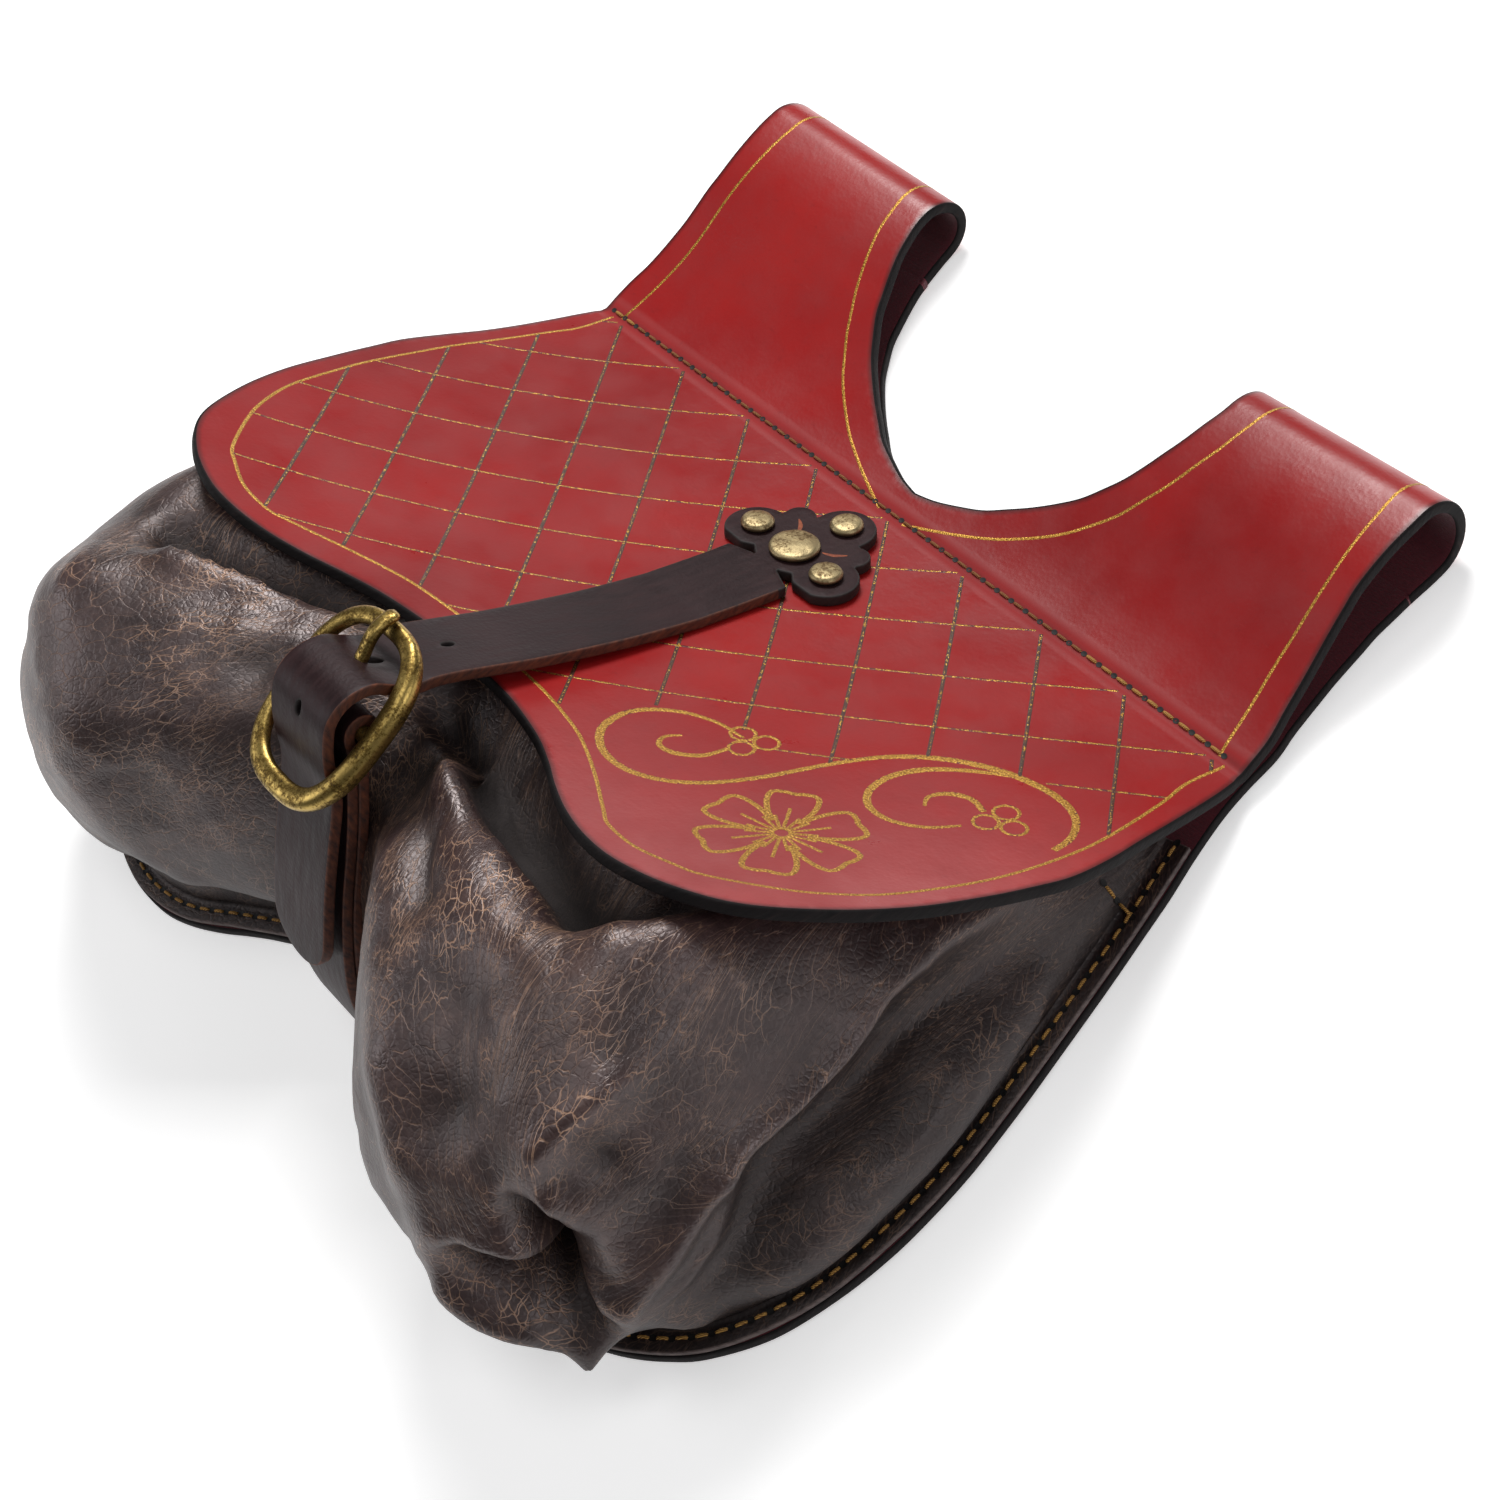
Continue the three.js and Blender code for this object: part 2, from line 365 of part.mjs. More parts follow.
// Buckle: an oval ring with a centre bar, and its prong.
const ringDir = V(0, -Math.cos(RING_TILT), -Math.sin(RING_TILT));
const ringAt = (a, b) => V(b, BAR[0], BAR[1]).addScaledVector(ringDir, a);
{
  const pts = [], e = 2 / 2.8, n = 44;
  for (let i = 0; i < n; i++) {
    const w = (2 * Math.PI * i) / n, c = Math.cos(w), s = Math.sin(w);
    pts.push(ringAt(RING_A * Math.sign(c) * Math.abs(c) ** e, RING_B * Math.sign(s) * Math.abs(s) ** e));
  }
  const normal = V(0, -Math.sin(RING_TILT), Math.cos(RING_TILT));
  const ring = solid(tube(pts, (f) => 2.15 + 0.55 * Math.abs(Math.sin(2 * Math.PI * f)) ** 2, 8, true, normal));
  const bar = solid(rod(ringAt(0, -RING_B), ringAt(0, RING_B), BAR_R, 12));
  add("buckle_frame", fromSolid(ring.add(bar)), brass());
}
{
  const run = [[-134.6, 92.0], [-131, 92.3], [-127.6, 92.9], [-124.4, 94.6], [-121.4, 96.6], [-118.2, 97.5], [-114.8, 97.4], [-111.8, 96.5]];
  const pts = Array.from({ length: 17 }, (_, i) => V(0, ...catmull(run, i / 16)));
  let s = solid(tube(pts, (f) => (f > 0.9 ? 0.95 : PRONG_R), 8));
  s = s.add(solid(rod(V(-1.9, ...BAR), V(1.9, ...BAR), 4.5, 18))).subtract(solid(rod(V(-3, ...BAR), V(3, ...BAR), BAR_R + 0.35, 16)));
  add("buckle_prong", fromSolid(s), brass());
}

// Buckle strap: folded round the bar, its two layers run down the pouch to the panel's edge.
{
  const n = 26, mid = Array.from({ length: n + 1 }, (_, i) => catmull(CHAPE_RUN, i / n)), P = mid.map(([y, z], i) => {
    const a = mid[Math.max(i - 1, 0)], b = mid[Math.min(i + 1, n)], t = new THREE.Vector2(b[0] - a[0], b[1] - a[1]).normalize();
    const o = [y + t.y * 2.9, z - t.x * 2.9];
    return [V(-CHAPE_HALF, ...o), V(CHAPE_HALF, ...o)];
  });
  let s = solid(sheet(P, 5.8, 1));
  s = s.add(solid(rod(V(-CHAPE_HALF, ...BAR), V(CHAPE_HALF, ...BAR), 5.5, 24)));
  s = s.subtract(solid(rod(V(-20, ...BAR), V(20, ...BAR), BAR_R + 0.45, 16)));
  const slot = new THREE.BoxGeometry(4.8, 17, 15).translate(0, BAR[0] + 2.9, BAR[1] + 1.5);
  s = s.subtract(solid(slot));
  add("buckle_strap", fromSolid(s), leather(0x41292a, 0.45));
}

export default group;
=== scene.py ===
# Leather hip bag with two belt loops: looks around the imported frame. Sizes in the tables are millimetres in the bag's
# own frame (x across, y up the bag from the top seam, z out of the front); M() turns them into metres in the row frame.
import math
import bpy
import bmesh
import numpy as np
from mathutils import Matrix, Vector, noise
from mathutils.geometry import delaunay_2d_cdt


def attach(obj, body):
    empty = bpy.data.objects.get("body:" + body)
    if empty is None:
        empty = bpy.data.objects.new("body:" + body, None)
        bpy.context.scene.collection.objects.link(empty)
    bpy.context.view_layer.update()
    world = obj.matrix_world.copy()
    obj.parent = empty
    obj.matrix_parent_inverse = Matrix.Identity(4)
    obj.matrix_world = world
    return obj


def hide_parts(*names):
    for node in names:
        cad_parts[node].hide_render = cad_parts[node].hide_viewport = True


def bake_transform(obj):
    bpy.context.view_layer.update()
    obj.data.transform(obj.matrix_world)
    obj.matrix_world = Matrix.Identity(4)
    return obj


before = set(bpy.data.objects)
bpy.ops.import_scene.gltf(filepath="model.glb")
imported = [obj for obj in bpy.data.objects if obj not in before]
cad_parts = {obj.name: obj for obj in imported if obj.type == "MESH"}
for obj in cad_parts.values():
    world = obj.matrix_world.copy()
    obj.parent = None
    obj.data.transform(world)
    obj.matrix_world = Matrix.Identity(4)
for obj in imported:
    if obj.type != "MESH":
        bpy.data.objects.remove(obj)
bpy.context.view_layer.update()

scene = bpy.context.scene
OY = 63.275
RNG = np.random.default_rng(7)


def M(p):
    q = np.array(p, float)
    q[..., 1] += OY
    return q * 0.001


# ------------------------------------------------------------------ camera, floor and lights
cam_data = bpy.data.cameras.new("camera")
cam = bpy.data.objects.new("camera", cam_data)
scene.collection.objects.link(cam)
scene.camera = cam
cam_data.sensor_width = 36.0
cam_data.lens = 73.32
cam_data.clip_start, cam_data.clip_end = 0.02, 20.0
right, down, fwd = (0.587, 0.7227, -0.3654), (0.500, -0.6784, -0.5388), (-0.637, 0.1329, -0.7593)
R3 = np.array([right, [-v for v in down], [-v for v in fwd]], float).T
U3, _, V3 = np.linalg.svd(R3)
R3 = U3 @ V3
cam.matrix_world = Matrix.Translation(Vector(M([501.22, -168.02, 574.58]))) @ Matrix([list(r) for r in R3]).to_4x4()

floor_mesh = bpy.data.meshes.new("floor")
floor_mesh.from_pydata([(-20, -20, 0), (20, -20, 0), (20, 20, 0), (-20, 20, 0)], [], [(0, 1, 2, 3)])
floor = bpy.data.objects.new("floor", floor_mesh)
floor.location.z = -0.0004
scene.collection.objects.link(floor)


def area_light(name, location, target, size, power, color=(1, 1, 1), size_y=None):
    data = bpy.data.lights.new(name, "AREA")
    data.shape = "RECTANGLE"
    data.size, data.size_y = size, size_y or size
    data.energy, data.color = power, color
    ob = bpy.data.objects.new(name, data)
    scene.collection.objects.link(ob)
    ob.location = location
    ob.rotation_mode = "QUATERNION"
    ob.rotation_quaternion = (Vector(target) - Vector(location)).to_track_quat("-Z", "Y")
    return ob


area_light("key", (-0.55, 0.75, 1.05), (0, 0, 0.03), 0.5, 16.0, (1.0, 0.99, 0.98))
area_light("side", (0.95, 0.25, 0.62), (0, 0, 0.03), 0.4, 2.2, (0.98, 0.98, 1.0))
area_light("left", (-0.8, -0.75, 0.7), (0, 0, 0.03), 0.5, 2.9, (0.98, 0.98, 1.0))
area_light("top", (0.0, -0.15, 1.5), (0, 0, 0), 0.7, 4.0)
world = bpy.data.worlds.new("world")
scene.world = world
world.use_nodes = True
world.node_tree.nodes["Background"].inputs["Color"].default_value = (1, 1, 1, 1)
world.node_tree.nodes["Background"].inputs["Strength"].default_value = 0.11
scene.view_settings.view_transform = "Standard"


# ------------------------------------------------------------------ node material helpers
class Nodes:
    """Short calls for one material's node tree."""

    def __init__(self, name):
        self.mat = bpy.data.materials.new(name)
        self.mat.use_nodes = True
        self.nt = self.mat.node_tree
        self.bsdf = self.nt.nodes["Principled BSDF"]

    def node(self, kind, ins=None, **attrs):
        n = self.nt.nodes.new(kind)
        for k, v in attrs.items():
            setattr(n, k, v)
        for k, v in (ins or {}).items():
            sock = n.inputs[k]
            if isinstance(v, bpy.types.NodeSocket):
                self.nt.links.new(v, sock)
            elif isinstance(v, bpy.types.Node):
                self.nt.links.new(v.outputs[0], sock)
            else:
                sock.default_value = v
        return n

    def uv(self, name="UVMap"):
        return self.node("ShaderNodeUVMap", uv_map=name).outputs[0]

    def attr(self, name, out="Fac"):
        return self.node("ShaderNodeAttribute", attribute_name=name).outputs[out]

    def mapping(self, vec, scale=(1, 1, 1), loc=(0, 0, 0), rot=(0, 0, 0)):
        return self.node("ShaderNodeMapping", {"Vector": vec, "Scale": scale, "Location": loc, "Rotation": rot}).outputs[0]

    def noise(self, vec, scale, detail=3.0, rough=0.5, distortion=0.0, out="Fac", **kw):
        return self.node("ShaderNodeTexNoise", {"Vector": vec, "Scale": scale, "Detail": detail, "Roughness": rough, "Distortion": distortion}, **kw).outputs[out]

    def voronoi(self, vec, scale, feature="F1", out="Distance", rand=1.0, **kw):
        return self.node("ShaderNodeTexVoronoi", {"Vector": vec, "Scale": scale, "Randomness": rand}, feature=feature, **kw).outputs[out]

    def ramp(self, fac, stops, interp="LINEAR"):
        n = self.node("ShaderNodeValToRGB", {"Fac": fac})
        n.color_ramp.interpolation = interp
        els = n.color_ramp.elements
        while len(els) < len(stops):
            els.new(0.5)
        for e, (pos, col) in zip(els, stops):
            e.position = pos
            e.color = (*col, 1) if len(col) == 3 else col
        return n.outputs[0]

    def maprange(self, value, a, b, c=0.0, d=1.0, kind="LINEAR"):
        return self.node("ShaderNodeMapRange", {"Value": value, "From Min": a, "From Max": b, "To Min": c, "To Max": d}, interpolation_type=kind).outputs[0]

    def math(self, op, a, b=0.0, clamp=False):
        return self.node("ShaderNodeMath", {0: a, 1: b}, operation=op, use_clamp=clamp).outputs[0]

    def mix(self, fac, a, b, blend="MIX"):
        n = self.nt.nodes.new("ShaderNodeMix")
        n.data_type = "RGBA"
        n.blend_type = blend
        n.clamp_result = False
        for sock, v in ((n.inputs[0], fac), (n.inputs[6], a), (n.inputs[7], b)):
            if isinstance(v, bpy.types.NodeSocket):
                self.nt.links.new(v, sock)
            else:
                sock.default_value = (*v, 1) if isinstance(v, tuple) and len(v) == 3 else v
        return n.outputs[2]

    def bump(self, height, strength, distance, normal=None):
        ins = {"Height": height, "Strength": strength, "Distance": distance}
        if normal is not None:
            ins["Normal"] = normal
        return self.node("ShaderNodeBump", ins).outputs[0]

    def set(self, **kw):
        for k, v in kw.items():
            sock = self.bsdf.inputs[k.replace("_", " ")]
            if isinstance(v, bpy.types.NodeSocket):
                self.nt.links.new(v, sock)
            else:
                sock.default_value = (*v, 1) if isinstance(v, tuple) and len(v) == 3 else v
        return self.mat


def srgb(r, g, b):
    f = lambda c: c / 12.92 if c <= 0.04045 else ((c + 0.055) / 1.055) ** 2.4
    return (f(r / 255), f(g / 255), f(b / 255))


# floor: plain and pale
n = Nodes("floor")
n.set(Base_Color=(0.9, 0.9, 0.9), Roughness=0.9, Emission_Color=(1.0, 1.0, 1.0), Emission_Strength=0.45)
floor.data.materials.append(n.mat)


# ------------------------------------------------------------------ materials
def mat_red():
    n = Nodes("red_leather")
    uv = n.uv()
    cloud = n.noise(uv, 9.0, 4, 0.55)
    fine = n.noise(uv, 60.0, 5, 0.6)
    fleck = n.noise(n.mapping(uv, (1.0, 1.6, 1.0)), 260.0, 3, 0.65)
    col = n.ramp(cloud, [(0.30, srgb(124, 15, 17)), (0.52, srgb(151, 22, 23)), (0.72, srgb(167, 34, 32))])
    col = n.mix(n.maprange(fine, 0.35, 0.75, 0.0, 0.5), col, srgb(132, 15, 18))
    col = n.mix(n.maprange(fleck, 0.60, 0.80, 0.0, 0.3), col, srgb(106, 10, 15))
    # scuffs: short pale rubbed strokes, few and faint
    scuff = n.noise(n.mapping(uv, (1.0, 7.0, 1.0), rot=(0, 0, 0.5)), 70.0, 4, 0.7)
    col = n.mix(n.maprange(scuff, 0.66, 0.78, 0.0, 0.35), col, srgb(168, 62, 62))
    # the leather darkens towards its dyed edges; the dark band along the sewn crease is painted shade
    edge = n.attr("edge")
    col = n.mix(n.maprange(edge, 0.0, 0.0015, 0.8, 0.0), col, srgb(44, 10, 14))
    sep = n.node("ShaderNodeSeparateXYZ", {0: uv})
    seam = n.math("ABSOLUTE", n.math("SUBTRACT", sep.outputs[1], 0.0016))
    col = n.mix(n.maprange(seam, 0.0002, 0.0016, 0.35, 0.0), col, srgb(60, 8, 12))
    pores = n.voronoi(uv, 900.0, "F1")
    grain = n.noise(uv, 420.0, 4, 0.6)
    h = n.math("ADD", n.math("MULTIPLY", grain, 0.7), n.math("MULTIPLY", pores, 0.3))
    b = n.bump(n.noise(uv, 24.0, 3, 0.5), 0.22, 0.0012)
    b = n.bump(n.noise(n.mapping(uv, (1.0, 2.4, 1.0)), 75.0, 3, 0.5), 0.10, 0.0006, b)
    b = n.bump(h, 0.16, 0.00035, b)
    rough = n.math("MAXIMUM", n.maprange(fine, 0.3, 0.7, 0.27, 0.42), n.maprange(seam, 0.0018, 0.005, 0.85, 0.27))
    return n.set(Base_Color=col, Roughness=rough, Normal=b, Specular_IOR_Level=0.5, Coat_Weight=0.05, Coat_Roughness=0.3)


def mat_red_back():
    n = Nodes("red_flesh_side")
    uv = n.uv()
    fibre = n.noise(n.mapping(uv, (1, 3, 1)), 700.0, 4, 0.7)
    cloud = n.noise(uv, 30.0, 3, 0.5)
    col = n.ramp(n.math("ADD", n.math("MULTIPLY", fibre, 0.6), n.math("MULTIPLY", cloud, 0.4)), [(0.35, srgb(66, 10, 24)), (0.7, srgb(112, 26, 42))])
    return n.set(Base_Color=col, Roughness=0.92, Normal=n.bump(fibre, 0.6, 0.0006), Sheen_Weight=0.25, Sheen_Roughness=0.5)


def mat_edge():
    n = Nodes("burnished_edge")
    uv = n.uv()
    g = n.noise(n.mapping(uv, (1, 1, 1)), 300.0, 4, 0.6)
    col = n.ramp(g, [(0.3, srgb(8, 6, 7)), (0.60, srgb(20, 14, 15)), (0.85, srgb(52, 38, 34))])
    return n.set(Base_Color=col, Roughness=0.75, Normal=n.bump(g, 0.7, 0.0005), Specular_IOR_Level=0.22)


def mat_gold():
    n = Nodes("gilt_line")
    uv = n.uv("across")
    pos = n.uv()
    sep = n.node("ShaderNodeSeparateXYZ", {0: uv})
    across = n.math("ABSOLUTE", n.math("SUBTRACT", sep.outputs[0], 0.5))
    glit = n.noise(pos, 2200.0, 2, 0.7)
    brk = n.noise(pos, 700.0, 3, 0.65)
    amount = n.attr("gilt")
    keep = n.math("ADD", n.math("MULTIPLY", brk, 0.6), n.math("MULTIPLY", glit, 0.4))
    gold = n.math("GREATER_THAN", n.math("ADD", keep, n.math("MULTIPLY", amount, 0.32)), n.math("ADD", 0.545, n.math("MULTIPLY", n.math("MULTIPLY", across, across), 0.6)))
    bright = n.ramp(glit, [(0.35, srgb(112, 76, 26)), (0.55, srgb(186, 138, 54)), (0.72, srgb(244, 204, 108))])
    groove = n.mix(n.maprange(amount, 0.05, 0.3, 0.0, 1.0), srgb(66, 34, 18), srgb(96, 20, 22))
    base = n.mix(gold, groove, bright)
    return n.set(Base_Color=base, Metallic=n.math("MULTIPLY", gold, 0.7), Roughness=0.42, Normal=n.bump(glit, 0.6, 0.0003))


def mat_pouch():
    n = Nodes("pouch_leather")
    pos = n.node("ShaderNodeTexCoord").outputs["Object"]
    uv = n.uv()
    wear_and_painted_shade = n.attr("wear_and_painted_shade")
    cloud = n.noise(pos, 13.0, 4, 0.55)
    mid = n.noise(pos, 60.0, 5, 0.65)
    fine = n.noise(pos, 300.0, 4, 0.65)
    # low and high are shaded and lit copies of the leather, mixed by the attribute read above: lighter on rubbed high
    # spots (wear), darker in hollows (unrubbed leather and painted shade), and darker low on the wall and on faces
    # turned down (painted shade)
    low = n.ramp(cloud, [(0.30, srgb(10, 7, 8)), (0.50, srgb(16, 11, 12)), (0.70, srgb(25, 18, 18))])
    high = n.ramp(cloud, [(0.30, srgb(36, 25, 24)), (0.50, srgb(48, 34, 34)), (0.70, srgb(63, 47, 46))])
    base = n.mix(wear_and_painted_shade, low, high)
    base = n.mix(n.math("MULTIPLY", n.maprange(mid, 0.42, 0.72, 0.0, 0.5), n.math("ADD", 0.2, wear_and_painted_shade)), base, srgb(82, 62, 60))
    base = n.mix(n.math("MULTIPLY", n.maprange(fine, 0.50, 0.78, 0.0, 0.4), n.math("ADD", 0.2, wear_and_painted_shade)), base, srgb(104, 82, 76))
    # crackle: a broken net of hair-thin tan cracks, three sizes, in patches, over the surface's own flat lengths
    warp = n.noise(uv, 55.0, 4, 0.6, out="Color", noise_dimensions="2D")
    wuv = n.node("ShaderNodeVectorMath", {0: uv, 1: n.node("ShaderNodeVectorMath", {0: warp, "Scale": 0.007}, operation="SCALE").outputs[0]}, operation="ADD").outputs[0]
    long = n.mapping(wuv, (1.0, 0.8, 1.0), rot=(0, 0, 0.6))
    crack = n.voronoi(wuv, 185.0, "DISTANCE_TO_EDGE", voronoi_dimensions="2D")
    crack2 = n.voronoi(long, 370.0, "DISTANCE_TO_EDGE", voronoi_dimensions="2D")
    crack3 = n.voronoi(wuv, 690.0, "DISTANCE_TO_EDGE", voronoi_dimensions="2D")
    broken = n.maprange(n.noise(uv, 120.0, 3, 0.6, noise_dimensions="2D"), 0.38, 0.54, 0.0, 1.0)
    patch = n.maprange(n.noise(pos, 24.0, 4, 0.65), 0.42, 0.60, 0.06, 1.0)
    patch2 = n.maprange(n.noise(pos, 41.0, 4, 0.65), 0.46, 0.60, 0.0, 1.0)
    l1 = n.maprange(crack, 0.003, 0.036, 0.9, 0.0)
    l2 = n.math("MULTIPLY", n.maprange(crack2, 0.005, 0.068, 0.95, 0.0), patch)
    l3 = n.math("MULTIPLY", n.maprange(crack3, 0.0, 0.12, 0.6, 0.0), patch2)
    lines = n.math("MULTIPLY", n.math("MAXIMUM", n.math("MAXIMUM", l1, l2), l3), broken)
    net = n.math("MULTIPLY", n.math("MULTIPLY", lines, n.math("ADD", 0.35, n.math("MULTIPLY", patch, 0.65))), n.math("ADD", 0.22, n.math("MULTIPLY", wear_and_painted_shade, 0.9)))
    base = n.mix(n.math("MULTIPLY", net, 0.9), base, srgb(190, 150, 122))
    glow = n.maprange(n.noise(pos, 33.0, 4, 0.7), 0.56, 0.74, 0.0, 0.22)
    base = n.mix(n.math("MULTIPLY", n.math("MULTIPLY", glow, patch), wear_and_painted_shade), base, srgb(142, 104, 86))
    # painted shade: the deepest hollows, such as the pleat hole, the slot and the valley under the flap, are mixed
    # towards near black
    deep = n.attr("deep")
    base = n.mix(deep, base, srgb(9, 6, 6))
    grain = n.voronoi(pos, 560.0, "DISTANCE_TO_EDGE")
    grain2 = n.noise(pos, 420.0, 4, 0.65)
    b = n.bump(n.noise(pos, 52.0, 4, 0.6), 0.2, 0.0010)
    b = n.bump(n.math("MULTIPLY", n.math("MAXIMUM", l1, l2), -1.0), 0.26, 0.0003, b)
    b = n.bump(n.math("ADD", n.math("MULTIPLY", n.maprange(grain, 0.0, 0.22, 0.0, 1.0), 0.6), grain2), 0.3, 0.0003, b)
    rough = n.math("ADD", n.maprange(mid, 0.3, 0.7, 0.31, 0.42), n.math("MULTIPLY", n.math("SUBTRACT", 1.0, wear_and_painted_shade), 0.18))
    rough = n.math("ADD", rough, n.math("MULTIPLY", deep, 0.35))
    return n.set(Base_Color=base, Roughness=rough, Normal=b, Specular_IOR_Level=0.75, Specular_Tint=(1.0, 0.88, 0.87))


def mat_pouch_inside():
    n = Nodes("pouch_flesh_side")
    uv = n.node("ShaderNodeTexCoord").outputs["Object"]
    f = n.noise(uv, 600.0, 4, 0.7)
    col = n.ramp(f, [(0.3, srgb(58, 44, 38)), (0.7, srgb(96, 76, 66))])
    return n.set(Base_Color=col, Roughness=0.95, Normal=n.bump(f, 0.6, 0.0005), Sheen_Weight=0.2)


def mat_raw_edge(name, a, b):
    n = Nodes(name)
    uv = n.uv()
    g = n.noise(uv, 500.0, 4, 0.6)
    col = n.ramp(g, [(0.3, a), (0.75, b)])
    return n.set(Base_Color=col, Roughness=0.7, Normal=n.bump(g, 0.5, 0.0003))


def mat_strap():
    n = Nodes("strap_leather")
    uv = n.uv()
    cloud = n.noise(uv, 30.0, 4, 0.55)
    streak = n.noise(n.mapping(uv, (6, 1, 1)), 90.0, 4, 0.6)
    col = n.ramp(cloud, [(0.3, srgb(26, 13, 15)), (0.7, srgb(42, 24, 26))])
    col = n.mix(n.maprange(streak, 0.45, 0.8, 0.0, 0.35), col, srgb(66, 42, 42))
    pores = n.voronoi(uv, 1100.0, "F1")
    b = n.bump(n.math("ADD", n.noise(uv, 500.0, 4, 0.6), n.math("MULTIPLY", pores, 0.5)), 0.22, 0.0003)
    return n.set(Base_Color=col, Roughness=n.maprange(streak, 0.3, 0.7, 0.42, 0.56), Normal=b, Specular_IOR_Level=0.22, Specular_Tint=(1.0, 0.88, 0.9))


def mat_thread(name, a, b):
    n = Nodes(name)
    uv = n.uv()
    tw = n.node("ShaderNodeTexWave", {"Vector": n.mapping(uv, (1, 1, 1), rot=(0, 0, 0.6)), "Scale": 900.0, "Distortion": 1.5}, wave_type="BANDS").outputs["Fac"]
    col = n.ramp(tw, [(0.2, a), (0.8, b)])
    return n.set(Base_Color=col, Roughness=0.75, Normal=n.bump(tw, 0.8, 0.0002))


def mat_brass(name, light, dark, deep, amount, rough0=0.3):
    n = Nodes(name)
    uv = n.node("ShaderNodeTexCoord").outputs["Object"]
    spots = n.noise(uv, 1300.0, 5, 0.75)
    clouds = n.noise(uv, 190.0, 4, 0.65)
    pits = n.maprange(n.voronoi(n.mapping(uv, (1, 1, 1)), 1500.0, "F1"), 0.0, 0.45, 1.0, 0.0)
    wear = n.maprange(n.node("ShaderNodeNewGeometry").outputs["Pointiness"], 0.48, 0.56, 0.0, 1.0)
    mask = n.math("SUBTRACT", n.math("ADD", n.math("ADD", n.math("MULTIPLY", spots, 0.55), n.math("MULTIPLY", clouds, 0.5)), n.math("MULTIPLY", pits, 0.06)), n.math("MULTIPLY", wear, 0.16))
    col = n.ramp(mask, [(amount - 0.10, light), (amount - 0.01, dark), (amount + 0.10, deep)])
    rough = n.maprange(mask, amount - 0.12, amount + 0.12, rough0, 0.68)
    met = n.maprange(mask, amount, amount + 0.14, 1.0, 0.45)
    return n.set(Base_Color=col, Metallic=met, Roughness=rough, Normal=n.bump(spots, 0.35, 0.0002))


RED, FLESH, EDGE, GOLD = mat_red(), mat_red_back(), mat_edge(), mat_gold()
POUCH, POUCH_IN = mat_pouch(), mat_pouch_inside()
POUCH_EDGE = mat_raw_edge("pouch_raw_edge", srgb(48, 36, 36), srgb(112, 96, 92))
STRAP = mat_strap()
STRAP_EDGE = mat_raw_edge("strap_raw_edge", srgb(40, 20, 15), srgb(112, 58, 34))
STRAP_FLESH = mat_raw_edge("strap_flesh_side", srgb(62, 40, 34), srgb(92, 62, 52))
HEAD_EDGE = mat_raw_edge("strap_head_edge", srgb(16, 12, 12), srgb(40, 28, 26))
OCHRE = mat_thread("ochre_thread", srgb(128, 84, 34), srgb(214, 164, 84))
DARK_THREAD = mat_thread("dark_thread", srgb(92, 52, 28), srgb(170, 112, 60))
CUT = mat_raw_edge("cut_leather", srgb(96, 38, 20), srgb(176, 90, 48))
# near-black discs at the needle holes: painted shade inside the holes
HOLE = mat_raw_edge("needle_hole_painted_shade", srgb(4, 3, 3), srgb(12, 8, 8))
RIVET = mat_brass("rivet_brass", srgb(164, 148, 112), srgb(112, 94, 66), srgb(54, 40, 32), 0.57, 0.46)
BUCKLE = mat_brass("buckle_brass", srgb(178, 152, 88), srgb(108, 86, 42), srgb(30, 23, 13), 0.505, 0.3)


# ------------------------------------------------------------------ geometry helpers
def table(rows, x):
    rows = np.array(rows, float)
    return np.interp(x, rows[:, 0], rows[:, 1])


def catmull(p, t):
    """Catmull-Rom through the points p (n, k) at parameters t in 0..1, the ends extended straight."""
    p = np.asarray(p, float)
    ext = np.vstack([2 * p[:1] - p[1:2], p, 2 * p[-1:] - p[-2:-1]])
    n = len(p) - 1
    f = np.clip(np.asarray(t, float), 0, 1) * n
    i = np.minimum(f.astype(int), n - 1)
    s = (f - i).reshape(f.shape + (1,) * (p.ndim - 1))
    a, b, c, d = ext[i], ext[i + 1], ext[i + 2], ext[i + 3]
    return 0.5 * (2 * b + (c - a) * s + (2 * a - 5 * b + 4 * c - d) * s * s + (3 * b - a - 3 * c + d) * s**3)


def resample(p, step, closed=False):
    """Points at an even step along a polyline."""
    p = np.asarray(p, float)
    if closed:
        p = np.vstack([p, p[:1]])
    d = np.r_[0, np.cumsum(np.linalg.norm(np.diff(p, axis=0), axis=1))]
    n = max(2, int(round(d[-1] / step)))
    t = np.linspace(0, d[-1], n + 1)
    q = np.stack([np.interp(t, d, p[:, k]) for k in range(p.shape[1])], 1)
    return q[:-1] if closed else q


def smooth_line(p, step, closed=False, per=12):
    """A Catmull-Rom curve through the points, at an even step."""
    p = np.asarray(p, float)
    if closed:
        n = len(p)
        q = np.vstack([p[-2:], p, p[:3]])
        seg = len(q) - 1
        fine = catmull(q, np.linspace(2 / seg, (2 + n) / seg, n * per + 1))
        return resample(fine[:-1], step, True)
    return resample(catmull(p, np.linspace(0, 1, (len(p) - 1) * per + 1)), step)


